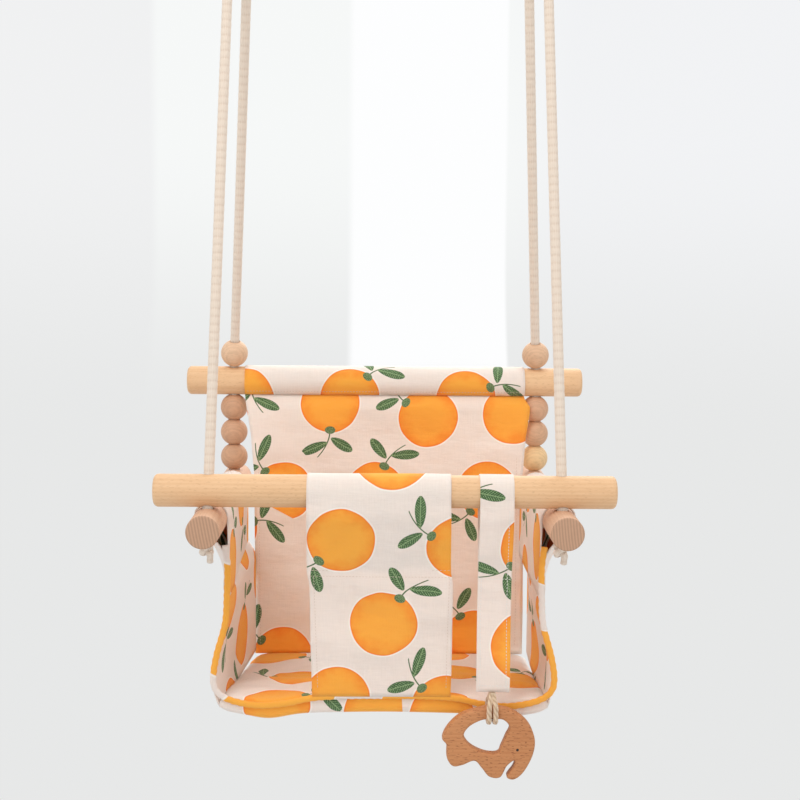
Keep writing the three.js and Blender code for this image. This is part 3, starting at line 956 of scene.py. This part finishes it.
UP = Vector((0, 0, 1))
FRONT_WOOD = beech("beech_front_bar", BAR_LIGHT, BAR_DARK, BAR_FLECK, 0, 0.11)
REAR_WOOD = beech("beech_rear_bar", BAR_LIGHT, BAR_DARK, BAR_FLECK, 0, 0.37)
SIDE_WOOD = beech(
    "beech_side_bars", (0.740, 0.480, 0.330), (0.640, 0.385, 0.250), (0.300, 0.150, 0.085), 1, 0.53,
    ends=(SIDE_BAR.y, SHORT_HALF),
)
front_up = {
    sign: (rope_ends("front", side, sign)[2] - rope_ends("front", side, sign)[1]).normalized()
    for side, sign in SIDES
}
make_bar(
    "front_dowel", "front_bar", "X", LONG_HALF,
    [(Vector((sign * HOLE_X, FRONT_BAR.y, FRONT_BAR.z)), front_up[sign]) for _, sign in SIDES],
    FRONT_WOOD, "front_bar", LONG_BEVEL,
)
make_bar(
    "rear_dowel", "rear_bar", "X", LONG_HALF,
    [(Vector((sign * HOLE_X, REAR_BAR.y, REAR_BAR.z)), UP) for _, sign in SIDES],
    REAR_WOOD, "seat", LONG_BEVEL,
)
for side_name, side_sign in SIDES:
    make_bar(
        f"side_dowel_{side_name}", f"side_bar_{side_name}", "Y", SHORT_HALF,
        [(at(side_sign * HOLE_X, y, 0), UP) for y in (FRONT_HOLE_Y, REAR_BAR.y)],
        SIDE_WOOD, "seat", SHORT_BEVEL,
    )


BEAD_R = 0.01425
BEAD_BORE = 0.0054
BEAD_SHADES = {
    "left_1": ((0.600, 0.350, 0.215), 0.21), "left_2": ((0.610, 0.355, 0.220), 0.93),
    "left_3": ((0.600, 0.345, 0.210), 0.47), "left_top": ((0.740, 0.500, 0.330), 0.64),
    "right_1": ((0.780, 0.540, 0.290), 0.75), "right_2": ((0.650, 0.395, 0.245), 0.15),
    "right_3": ((0.640, 0.385, 0.245), 0.58), "right_top": ((0.690, 0.450, 0.290), 0.83),
}


def make_bead(key):
    node = f"bead_{key}"
    centre = middle(node)
    half, lip = 0.01315, 0.0008  # half the bead's height, and the bevel round its bore
    start = math.asin(half / BEAD_R)
    outline = [(BEAD_R * math.cos(a), BEAD_R * math.sin(a)) for a in np.linspace(-start, start, 29)]
    inner = [
        (BEAD_BORE + lip, half), (BEAD_BORE, half - lip),
        (BEAD_BORE, -half + lip), (BEAD_BORE + lip, -half),
    ]
    bead = lathe(f"turned_{node}", outline + inner, 56)
    direction = UP
    if key.endswith("top"):
        side, sign = ("left", LEFT) if "left" in key else ("right", RIGHT)
        _, bend, eye = rope_ends("rear", side, sign)
        direction = (eye - bend).normalized()
    aim = UP.rotation_difference(direction)
    for vertex in bead.data.vertices:
        vertex.co = aim @ vertex.co + centre
    smooth_by_angle(bead, 50)
    shade, seed = BEAD_SHADES[key]
    light, dark, fleck = (tinted(shade, share) for share in (1.10, 0.84, 0.5))
    material = beech(f"pine_{key}", light, dark, fleck, 0, seed)
    return finish_piece(bead, material, node, [node])


for bead_key in BEAD_SHADES:
    make_bead(bead_key)


# ---------- cloth ----------


def cloth(name, path, widths, columns, print_at, ripple, fine=0.006, side="X"):
    """A sheet that follows a path in one plane and runs straight across it.

    path is a list of (a, h) points and widths gives (low, high) at each share of its length. side
    says what runs across: X for a path in the YZ plane, Y for one in the XZ plane. print_at is the
    map's start along the path, or a function of the place across and along. ripple gives how far
    each point stands off the path, square to it and level.
    """
    path = np.asarray(path, float)
    total = lengths(path)[-1]
    rows = int(total / fine) + 1
    line = resample(path, rows)
    reach = np.linspace(0, total, rows)
    shares = reach / total
    low, high = (np.interp(shares, *zip(*[(s, w[end]) for s, w in widths])) for end in (0, 1))
    tangent = np.gradient(line, axis=0)
    tangent /= np.linalg.norm(tangent, axis=1)[:, None]
    normal = np.stack([-tangent[:, 1], tangent[:, 0]], 1)
    points, uvs = [], []
    for i in range(rows):
        for j in range(columns):
            u = j / (columns - 1)
            w = low[i] + (high[i] - low[i]) * u
            off, aside = ripple(w, reach[i], shares[i], u)
            a, h = line[i] + normal[i] * off + (aside, 0.0)
            points.append((w, a, ZERO + h) if side == "X" else (a, w, ZERO + h))
            uvs.append(print_at(w, reach[i]) if callable(print_at) else (w, print_at + reach[i]))
    return mesh_object(name, points, grid_faces(rows, columns), uvs)


def soft_noise(x, y, scale, seed):
    return noise.noise(Vector((x * scale, y * scale, seed)))


def arc(centre, radius, start, stop, count=28):
    return [
        (centre[0] + radius * math.cos(a), centre[1] + radius * math.sin(a))
        for a in np.radians(np.linspace(start, stop, count))
    ]


def flat_spline(points, count):
    return [tuple(p) for p in spline([(a, h) for a, h in points], count)]


# --- backrest ---

BACK_X = 0.003
back_bar = (REAR_BAR.y, REAR_H)


def make_backrest():
    front = BACK_Y - 0.0012
    rise = flat_spline([
        (front - 0.001, -0.1815), (front - 0.0025, -0.13), (front - 0.0015, -0.06), (front, 0.0),
        (front + 0.002, 0.055), (front + 0.0045, 0.084),
    ], 40)
    wrap = arc(back_bar, SLEEVE_R, -124, 170, 60)
    hem = arc(back_bar, SLEEVE_R + 0.0014, 182, 232, 12)
    path = rise + wrap + hem
    total = lengths(np.array(path))[-1]
    rise_length = lengths(np.array(rise))[-1]

    def share(reach):
        return reach / total

    widths = [
        (0.0, (BACK_X - 0.140, BACK_X + 0.146)), (share(0.10), (BACK_X - 0.140, BACK_X + 0.1455)),
        (share(0.195), (BACK_X - 0.141, BACK_X + 0.1440)),
        (share(0.235), (BACK_X - 0.1445, BACK_X + 0.147)),
        (share(rise_length), (BACK_X - 0.1495, BACK_X + 0.1515)),
        (share(rise_length + 0.012), (BACK_X - 0.1515, BACK_X + 0.1445)),
        (1.0, (BACK_X - 0.1515, BACK_X + 0.1455)),
    ]

    def ripple(x, reach, s, u):
        loose = min(1.0, reach / 0.03) * min(1.0, max(0.0, (rise_length - reach) / 0.03))
        edge = 1 - 4 * (u - 0.5) ** 2
        pull = 0.0022 * math.sin(u * 9 * math.pi) * math.exp(-abs(reach - rise_length) / 0.035)
        big = soft_noise(x, reach, 14, 3.3) * 0.0050 + soft_noise(x, reach, 36, 8.1) * 0.0014
        return loose * (big - 0.004 * edge * math.sin(math.pi * s) + pull), 0.0

    def placed(x, reach):
        return x, (SLEEVE + total - reach if reach > rise_length + 0.045 else reach - 0.1815)

    piece = cloth("backrest", path, widths, 72, placed, ripple, fine=0.0045)
    solid(piece, CLOTH)
    finish_piece(
        piece, canvas("canvas_back", BACK_FRUITS), "seat", ["backrest_panel", "backrest_sleeve"],
    )
    return piece


# --- sides ---

SIDE_PATH = [
    (0.1528, -0.1780), (0.1570, -0.168), (0.1590, -0.150), (0.1565, -0.128), (0.1490, -0.100),
    (0.1468, -0.0735),
]
SIDE_REAR_X = {LEFT: 0.1368, RIGHT: 0.1540}  # where each side wall meets the backrest


def make_side(side, sign):
    low = flat_spline(SIDE_PATH, 30)
    outer = arc((HOLE_X, 0.0), SLEEVE_R, -12, 190, 44)
    down = [(0.1446, -0.030), (0.1448, -0.0735)]
    path = [(sign * a, h) for a, h in low + outer + down]
    total = lengths(np.array(path))[-1]
    low_reach, low_x = lengths(np.array(low)), np.array(low)[:, 0]
    front, rear = EDGE_Y - 0.0005, BACK_Y - 0.0038
    widths = [(0.0, (front, rear)), (1.0, (front, rear))]

    def ripple(y, reach, s, u):
        low_part = min(1.0, reach / 0.02) * min(1.0, max(0.0, (0.095 - reach) / 0.02))
        sleeve = min(1.0, max(0.0, (reach - 0.115) / 0.02)) * min(1.0, max(0.0, (total - reach) / 0.03))
        place = np.interp(reach, low_reach, low_x)
        fade = min(1.0, max(0.0, (0.165 - reach) / 0.05))
        lean = (place - SIDE_REAR_X[sign]) * u ** 1.3
        inward = sign * fade * (0.0015 * math.sin(math.pi * u) + lean)
        closing = math.sin(math.pi * min(1.0, max(0.0, (reach - 0.108) / 0.085))) ** 2
        inward += sign * 0.0150 * closing * max(0.0, 1 - u / 0.30) ** 2
        folds = soft_noise(y, reach, 22, 5.5 + sign) * 0.0042 * (1 - u ** 4)
        near_bar = max(0.0, 1 - abs(reach - 0.25) / 0.07)
        return low_part * folds + sleeve * (1 - near_bar) * folds * 0.5, -inward

    piece = cloth(f"side_wall_{side}", path, widths, 44, sign * 0.4, ripple, side="Y")
    solid(piece, CLOTH)
    finish_piece(
        piece, canvas(f"canvas_side_{side}", REPEAT_FRUITS, REPEAT_TILE), "seat",
        [f"side_panel_{side}", f"side_sleeve_{side}"],
    )
    return piece


# --- seat ---


def make_seat():
    """A thin padded slab with a soft rounded rim, a little crowned, its front lip drawn down."""
    half_x = (SEAT_HIGH.x - SEAT_LOW.x) / 2 + 0.0015
    columns, rows = 96, 150
    depth = BACK_Y - EDGE_Y
    thick = 0.0175

    def level(y):
        return -0.1665 - 0.015 * (y - EDGE_Y) / depth

    section = [(EDGE_Y + 0.002 + (depth - 0.004) * t, 0.0) for t in np.linspace(1, 0, 60)]
    section += [
        (EDGE_Y + 0.002 - 0.0035 * math.sin(a), -0.0035 * (1 - math.cos(a)))
        for a in np.linspace(0.2, math.pi / 2, 6)
    ]
    section += [(EDGE_Y - 0.0015, -thick + 0.003), (EDGE_Y + 0.002, -thick)]
    section += [(EDGE_Y + 0.006 + (depth - 0.012) * t, -thick) for t in np.linspace(0, 1, 30)]
    section += [(BACK_Y - 0.001, -thick + 0.004), (BACK_Y - 0.001, -0.004)]
    line = resample(np.array(section + [section[0]]), rows + 1)[:-1]
    reach = lengths(line)
    points, uvs = [], []
    for i, (y, drop) in enumerate(line):
        for j in range(columns):
            u = j / (columns - 1)
            back = min(1.0, max(0.0, (y - EDGE_Y) / depth)) ** 1.6
            left, right = -half_x + 0.0160 * back, half_x - 0.0010 * back
            x = left + (right - left) * u
            side = min(u, 1 - u) * 2 * half_x
            pinch = 1 - math.exp(-side / 0.006)
            upper = 1.0 if drop > -0.002 else 0.0
            inner = min(1.0, max(0.0, y - EDGE_Y) / 0.03) * min(1.0, max(0.0, BACK_Y - y) / 0.03)
            crown = upper * inner * (1 - (2 * u - 1) ** 4) * 0.003
            wave = soft_noise(x, y, 24, 1.7) * 0.0030 + soft_noise(x * 0.5, y * 1.6, 46, 9.7) * 0.0022
            wave *= upper * inner
            dip = -0.0055 * math.exp(-((abs(x) - 0.108) / 0.022) ** 2) * math.exp(-(y - EDGE_Y) / 0.03)
            lift = 0.0015 * math.exp(-(x / 0.06) ** 2)
            h = level(y) - thick / 2 + (drop + thick / 2) * (0.35 + 0.65 * pinch)
            h += crown + wave + dip + lift
            points.append((x, y, ZERO + h))
            uvs.append((x, BACK_Y - reach[i]))
    faces = grid_faces(rows, columns, round_rows=True)
    for j in (0, columns - 1):
        loop = [i * columns + j for i in range(rows)]
        faces.append(tuple(loop if j else reversed(loop)))
    piece = outward(mesh_object("padded_seat", points, faces, uvs))
    finish_piece(piece, canvas("canvas_seat", SEAT_FRUITS), "seat", ["seat_base"])


# --- piping ---

PIPE_HALF = [
    (0.1478, -0.0240), (0.1456, -0.0450), (0.1462, -0.0720), (0.1480, -0.098), (0.1560, -0.128),
    (0.1592, -0.150), (0.1555, -0.1625), (0.1420, -0.1710), (0.1170, -0.1755), (0.0920, -0.1735),
    (0.0650, -0.1680), (0.0300, -0.1660),
]


def make_piping():
    y = EDGE_Y - 0.0028
    left = [(-x, h) for x, h in PIPE_HALF]
    route = left + [(0.0, -0.1658)] + [(x, h) for x, h in reversed(PIPE_HALF)]
    line = spline([at(x, y, h) for x, h in route], 420)

    def relief(along, angle):
        flat = 0.0004 * np.cos(2 * angle)
        pucker = 0.00022 * np.sin(along * 900) * np.cos(angle)
        return flat + pucker, np.ones_like(along)

    piece = tube("front_binding", line, 0.0026, 20, relief, first=(0, 1, 0))
    return finish_piece(piece, BINDING, "seat", ["front_piping"])


# --- crotch panel and strap, both hung over the front bar ---


def over_front_bar(seam):
    """The loop over the bar, from the seam up the front, over the top and back down to the seam."""
    bar = (FRONT_BAR.y, FRONT_H)
    front = [seam, (FRONT_BAR.y - SLEEVE_R - 0.0005, FRONT_H - 0.022)]
    wrap = arc(bar, SLEEVE_R, 186, -14, 44)
    back = [(FRONT_BAR.y + SLEEVE_R - 0.003, FRONT_H - 0.022), (seam[0] + 0.0030, seam[1])]
    return front, wrap, back


CROTCH_SEAM = (SIDE_BAR.y - 0.1205, -0.0455)
CROTCH_FOOT = (EDGE_Y - 0.0045, -0.1660)


def blend_crotch(piece):
    """Bakes a piece of the crotch panel's placing into its mesh; the points it works out at the seat and the
    front bar go unused.
    """
    start, end = at(0, CROTCH_FOOT[0], -0.155), at(0, CROTCH_SEAM[0], -0.035)
    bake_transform(piece)


def make_crotch():
    seam, foot = CROTCH_SEAM, CROTCH_FOOT
    rise = flat_spline([
        foot, (foot[0] - 0.0035, -0.140), (foot[0] - 0.0085, -0.095), (seam[0] + 0.0012, seam[1] - 0.012),
    ], 24)
    front, wrap, back = over_front_bar((seam[0] - 0.0006, seam[1] + 0.004))
    path = rise + front + wrap + back
    total = lengths(np.array(path))[-1]
    widths = [
        (0.0, (-0.0670, 0.0622)), (0.15, (-0.0682, 0.0628)), (0.35, (-0.0690, 0.0622)),
        (0.38, (-0.0712, 0.0605)), (0.6, (-0.0712, 0.0592)), (1.0, (-0.0700, 0.0600)),
    ]
    rise_length = lengths(np.array(rise))[-1]

    def ripple(x, reach, s, u):
        free = min(1.0, reach / 0.02) * min(1.0, max(0.0, (total - reach)) / 0.02)
        bar_near = max(0.0, 1 - abs(reach - rise_length - 0.11) / 0.055)
        waves = soft_noise(x * 0.7, reach, 26, 2.2) * 0.0036 + soft_noise(x, reach, 60, 6.2) * 0.0011
        below = reach - rise_length
        fold = 0.0011 * min(1.0, max(0.0, (below + 0.001) / 0.002)) * math.exp(-max(0.0, below) / 0.03)
        pucker = 0.0010 * math.exp(-abs(below + 0.006) / 0.010) * math.sin(x * 260)
        return free * (1 - bar_near) * (waves + pucker) + fold, 0.0

    piece = cloth("crotch_panel_cloth", path, widths, 50, -0.1660, ripple, fine=0.0045)
    solid(piece, CLOTH)
    piece.data.materials.append(canvas("canvas_crotch", CROTCH_FRUITS))
    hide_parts("crotch_panel", "crotch_sleeve")
    blend_crotch(piece)
    return piece


STRAP_LOW_X, STRAP_HIGH_X = 0.0852, 0.1160


def make_strap():
    seam = (FRONT_BAR.y, -0.0480)
    end = (FRONT_BAR.y, -0.1558)
    front, wrap, back = over_front_bar((seam[0] - 0.0009, seam[1] + 0.003))
    path = [end, (end[0] + 0.0002, -0.10), (seam[0], seam[1] - 0.004)] + front + wrap + back
    widths = [
        (0.0, (STRAP_LOW_X - 0.0004, STRAP_HIGH_X - 0.0004)), (0.42, (STRAP_LOW_X, STRAP_HIGH_X)),
        (0.46, (STRAP_LOW_X + 0.0002, STRAP_HIGH_X + 0.0003)), (1.0, (STRAP_LOW_X, STRAP_HIGH_X)),
    ]

    def ripple(x, reach, s, u):
        free = min(1.0, reach / 0.01)
        bar_near = max(0.0, 1 - abs(reach - 0.215) / 0.055)
        return free * (1 - bar_near) * soft_noise(x, reach, 40, 4.4) * 0.0028, 0.0

    piece = cloth("hanging_strap", path, widths, 20, -0.1558, ripple, fine=0.004)
    solid(piece, CLOTH * 1.15)
    finish_piece(
        piece, canvas("canvas_strap", STRAP_FRUITS), "strap", ["strap_loop", "strap_tail"],
    )
    return piece


back_piece = make_backrest()
side_pieces = {name: make_side(name, sign) for name, sign in SIDES}
make_seat()
make_piping()
crotch_piece = make_crotch()
strap_piece = make_strap()


# ---------- stitches ----------


def stitch_tree():
    """Short stitches, evenly spaced along an edge line."""
    tree, nodes, (edges, pitch, length, width, thread), give = new_group("stitch_line", (
        ("Geometry", "NodeSocketGeometry"), ("Pitch", "NodeSocketFloat"), ("Length", "NodeSocketFloat"),
        ("Width", "NodeSocketFloat"), ("Thread", "NodeSocketMaterial"),
    ), "Geometry", "NodeSocketGeometry", "GeometryNodeTree")
    line = nodes.node("GeometryNodeMeshToCurve", None, {"Mesh": edges})
    even = nodes.node("GeometryNodeResampleCurve", {"mode": "LENGTH"}, {"Curve": line, "Length": pitch})
    tangent = nodes.node("GeometryNodeInputTangent")
    aim = nodes.node("FunctionNodeAlignRotationToVector", {"axis": "X"}, {"Vector": tangent})
    ball = nodes.node("GeometryNodeMeshUVSphere", None, {"Segments": 8, "Rings": 5, "Radius": 0.5})
    size = nodes.node("ShaderNodeCombineXYZ", None, {"X": length, "Y": width, "Z": width})
    shaped = nodes.node("GeometryNodeTransform", None, {"Geometry": ball, "Scale": size})
    placed = nodes.node(
        "GeometryNodeInstanceOnPoints", None, {"Points": even, "Instance": shaped, "Rotation": aim},
    )
    real = nodes.node("GeometryNodeRealizeInstances", None, {"Geometry": placed})
    give(nodes.node("GeometryNodeSetMaterial", None, {"Geometry": real, "Material": thread}))
    return tree


STITCHES = stitch_tree()


def stitch(name, lines, pitch, length, width, thread=WHITE_THREAD):
    """Stitches along polylines, as a plain mesh."""
    points, edges = [], []
    for line in lines:
        start = len(points)
        points += [tuple(p) for p in line]
        edges += [(start + i, start + i + 1) for i in range(len(line) - 1)]
    mesh = bpy.data.meshes.new(name)
    mesh.from_pydata(points, edges, [])
    piece = linked(name, mesh)
    modifier = piece.modifiers.new("stitches", "NODES")
    modifier.node_group = STITCHES
    values = {"Pitch": pitch, "Length": length, "Width": width, "Thread": thread}
    for item in STITCHES.interface.items_tree:
        if item.in_out == "INPUT" and item.name in values:
            modifier[item.identifier] = values[item.name]
    baked(piece)
    piece.data.polygons.foreach_set("use_smooth", [True] * len(piece.data.polygons))
    return piece


STITCH_LIFT = 0.00012
FAR = 0.6  # how far off a line starts that looks for a surface


def on_surface(piece, starts, direction):
    """Where lines from the starts first meet a piece, lifted just off it."""
    tree = BVHTree.FromPolygons(
        [v.co for v in piece.data.vertices], [tuple(p.vertices) for p in piece.data.polygons],
    )
    found = []
    for start in starts:
        hit, normal, _, _ = tree.ray_cast(Vector(start), Vector(direction))
        if hit is not None:
            found.append(hit + normal * STITCH_LIFT)
    return found


def from_front(piece, points):
    """Points (x, h) thrown onto a piece from the front."""
    return on_surface(piece, [at(x, -FAR, h) for x, h in points], (0, 1, 0))


def from_side(piece, sign, points):
    """Points (y, h) thrown onto a piece from outside."""
    return on_surface(piece, [at(sign * FAR, y, h) for y, h in points], (-sign, 0, 0))


def between(start, end, count=40):
    return [
        (start[0] + (end[0] - start[0]) * t, start[1] + (end[1] - start[1]) * t)
        for t in np.linspace(0, 1, count)
    ]


def fix_stitches(piece, body):
    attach(piece, body)


def sew():
    """The seams' and hems' stitches."""
    front = [
        between((-0.0650, -0.0500), (-0.0618, -0.1560)), between((0.0590, -0.0500), (0.0578, -0.1560)),
        between((-0.0680, -0.0480), (0.0585, -0.0490)),
        between((-0.0660, -0.0425), (-0.0530, -0.0425), 12),
        between((0.0440, -0.0425), (0.0585, -0.0425), 12),
    ]
    lines = [from_front(crotch_piece, line) for line in front]
    piece = stitch("stitches_crotch", lines, 0.0030, 0.0022, 0.00042, PALE_THREAD)
    blend_crotch(piece)
    front = [
        between((STRAP_HIGH_X - 0.0040, 0.0150), (STRAP_HIGH_X - 0.0040, -0.1520)),
        between((STRAP_LOW_X + 0.0030, -0.0520), (STRAP_LOW_X + 0.0030, -0.1520)),
        between((STRAP_LOW_X + 0.0020, -0.0500), (STRAP_HIGH_X - 0.0020, -0.0500)),
        between((STRAP_LOW_X + 0.0020, -0.1500), (STRAP_HIGH_X - 0.0020, -0.1500)),
    ]
    lines = [from_front(strap_piece, line) for line in front]
    fix_stitches(stitch("stitches_strap", lines, 0.0031, 0.0023, 0.00060), "strap")
    low, high = BACK_X - 0.140, BACK_X + 0.142
    front = [
        between((low - 0.008, 0.1000), (high - 0.002, 0.1000), 80),
        between((low + 0.0055, -0.1700), (low + 0.0040, 0.0300)),
        between((high - 0.0040, -0.1700), (high - 0.0045, 0.0300)),
    ]
    lines = [from_front(back_piece, line) for line in front]
    fix_stitches(stitch("stitches_backrest", lines, 0.0032, 0.0022, 0.00045, PALE_THREAD), "seat")
    for side, sign in SIDES:
        rows = [between((EDGE_Y + 0.003, h), (BACK_Y - 0.008, h), 60) for h in (-0.0660, -0.0720)]
        lines = [from_side(side_pieces[side], sign, row) for row in rows]
        seam = stitch(f"stitches_side_{side}", lines, 0.0032, 0.0023, 0.00050, PALE_THREAD)
        fix_stitches(seam, "seat")


sew()


# ---------- cord and teether ----------

CORD = middle("teether_cord")
CORD_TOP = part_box("teether_cord")[1].z
CORD_R = 0.0024


def cord_twist(along, angle):
    ply = np.cos(3 * angle + 2 * math.pi * along / 0.006)
    # The crown given back darkens the grooves between plies as painted shade.
    return ply * 0.00016, ply * 0.5 + 0.5


def make_cord():
    """A doubled cotton cord, looped through the strap's hem and round the teether's back."""
    x, y, _ = CORD
    top = CORD_TOP
    low = middle("teether").z + half_size("teether").z - 0.0146
    out = 0.0094
    half = [
        (-0.0024, 0.0006, top), (-0.0048, 0.0014, top - 0.0048), (-out, 0.0028, top - 0.0100),
        (-out - 0.0003, 0.0030, top - 0.0150), (-out, 0.0030, low + 0.0045), (-0.0052, 0.0029, low + 0.0008),
    ]
    loop = [(y + a, b, z) for a, b, z in half] + [(y, 0.0028, low)]
    loop += [(y - a, b, z) for a, b, z in reversed(half)]
    pieces = []
    for name, sign in (("teether_cord_left", -1), ("teether_cord_right", 1)):
        route = [Vector((x + sign * b, a, z)) for a, b, z in loop]
        line = spline(route, 90)
        pieces.append((tube(name, line, CORD_R, 16, cord_twist, first=(1, 0, 0)), line))
    for (piece, line), nodes in zip(pieces, (["teether_cord"], [])):
        finish_piece(piece, CORD_COTTON, "cord", nodes)


make_cord()

TEETHER = middle("teether")
TEETHER_LOW, TEETHER_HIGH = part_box("teether")
ELEPHANT = [
    (0, 0), (-22, -6.5), (-35, -17.5), (-41, -29.5), (-37, -36), (-36.5, -48), (-31, -56),
    (-22, -55), (-11, -51), (-4, -58), (3, -66), (13, -66.5), (19, -56), (26, -50.5), (25, -56.5),
    (19, -66), (26, -68.5), (35, -61), (43, -45), (44.5, -30), (38, -15), (25, -4.5), (12, -0.5),
]
HOLLOW = [
    (4, -11.5), (-5, -12.5), (-16, -18.5), (-21, -27), (-15, -36.5), (-2, -43), (10, -43.5),
    (13.5, -37), (17.5, -27.5), (21, -19), (15, -12),
]
TEETHER_X = TEETHER_LOW.x + 0.0413
TEETHER_TOP = TEETHER_HIGH.z


def make_teether():
    """A flat elephant sawn from beech, its edges rounded over, with a small burnt eye."""
    data = bpy.data.curves.new("elephant", "CURVE")
    data.dimensions, data.fill_mode = "2D", "BOTH"
    round_over = 0.0024
    data.extrude = (TEETHER_HIGH.y - TEETHER_LOW.y) / 2 - round_over
    data.bevel_depth, data.bevel_resolution = round_over, 4
    data.offset = -round_over
    for outline in (ELEPHANT, HOLLOW):
        closed = [*outline, outline[0]]
        line = spline([(x / 1000, z / 1000, 0) for x, z in closed], len(outline) * 9)[:-1]
        strand = data.splines.new("POLY")
        strand.points.add(len(line) - 1)
        for point, co in zip(strand.points, line):
            point.co = (*co, 1)
        strand.use_cyclic_u = True
    shape = linked("elephant", data)
    mesh = plain_mesh(shape)
    bpy.data.objects.remove(shape)
    piece = linked("elephant_teether", mesh)
    for vertex in mesh.vertices:
        x, z, depth = vertex.co
        vertex.co = (TEETHER_X + x, TEETHER.y + depth, TEETHER_TOP + z)
    outward(piece, merge=2e-5)
    smooth_by_angle(piece, 50)
    wood = beech(
        "beech_teether", (0.600, 0.270, 0.112), (0.470, 0.185, 0.070), (0.250, 0.085, 0.032),
        0, 0.29, 0.7,
    )
    finish_piece(piece, wood, "teether", ["teether"])
    for face, y in (("front", TEETHER_LOW.y), ("rear", TEETHER_HIGH.y)):
        outline = [(0, -0.0004), (0.0011, -0.0002), (0.0014, 0.0001), (0, 0.0003)]
        eye = lathe(f"burnt_eye_{face}", outline, 20)
        for vertex in eye.data.vertices:
            x, z, depth = vertex.co
            vertex.co = (TEETHER_X + 0.0285 + x, y + depth * 0.5, TEETHER_TOP - 0.0400 + z)
        outward(eye)
        finish_piece(eye, EYE_DARK, "teether")


make_teether()


# ---------- floor, light and world ----------


def make_stage():
    """A pale floor that sweeps up behind into a backdrop, lit from all round. Its glow is painted light and
    shade: lighter in the middle and in an upright band, darker towards the floor.
    """
    floor_h, wall_y, sweep, wide, high = -1.15, 5.0, 0.9, 9.0, 7.0
    profile = [(-6.0, floor_h), (wall_y - sweep, floor_h)]
    profile += [
        (wall_y - sweep + sweep * math.sin(a), floor_h + sweep * (1 - math.cos(a)))
        for a in np.linspace(0.1, math.pi / 2, 14)
    ]
    profile.append((wall_y, high))
    points = [(x, y, z) for y, z in profile for x in (-wide, wide)]
    faces = [(2 * i, 2 * i + 1, 2 * i + 3, 2 * i + 2) for i in range(len(profile) - 1)]
    backdrop = mesh_object("backdrop", points, faces)
    material, paint, surface = new_material(
        "studio_wall", Roughness=1.0, Emission_Strength=1.0, Specular_IOR_Level=0.0, Base_Color=(0, 0, 0, 1),
    )
    x, _, z = paint.parts(object_place(paint))
    # Painted light and shade: the glow is lighter in the middle than at the sides, and darker towards the
    # floor.
    left_wall, middle_wall = (0.875, 0.880, 0.885), (0.925, 0.940, 0.935)
    wall = paint.mix(paint.step(x, -1.00, -0.95), left_wall, middle_wall)
    wall = paint.mix(paint.step(x, 0.52, 0.85), wall, (0.885, 0.893, 0.908))
    wall = paint.mix(paint.step(z, 0.20, -1.14), wall, (0.800, 0.807, 0.805))
    # Painted light: a brighter upright band in the backdrop's glow.
    window = paint.step(x, -0.150, -0.110) * paint.step(x, 0.550, 0.530) * paint.step(z, -1.05, -0.75)
    feed(paint, surface, Emission_Color=paint.mix(window, wall, (0.985, 0.990, 0.995)))
    backdrop.data.materials.append(material)


def area_light(name, place, size, power, colour):
    data = bpy.data.lights.new(name, "AREA")
    data.shape, data.size, data.energy, data.color = "SQUARE", size, power, colour
    lamp = linked(name, data)
    lamp.location = place
    lamp.rotation_euler = (AIM - place).to_track_quat("-Z", "Y").to_euler()


make_stage()
AIM = at(0, 0, -0.08)
world = bpy.data.worlds.new("studio")
bpy.context.scene.world = world
world.use_nodes = True
world.node_tree.nodes["Background"].inputs["Color"].default_value = (1.0, 0.975, 0.95, 1)
world.node_tree.nodes["Background"].inputs["Strength"].default_value = 0.92
area_light("key", at(-0.7, -1.3, 1.9), 0.9, 15, (1.0, 0.975, 0.94))
area_light("fill", at(1.4, -1.2, 0.6), 1.6, 2, (0.97, 0.985, 1.0))
area_light("window", at(0.25, 1.0, 0.9), 1.0, 11, (1.0, 0.98, 0.94))
bpy.context.scene.view_settings.view_transform = "Standard"
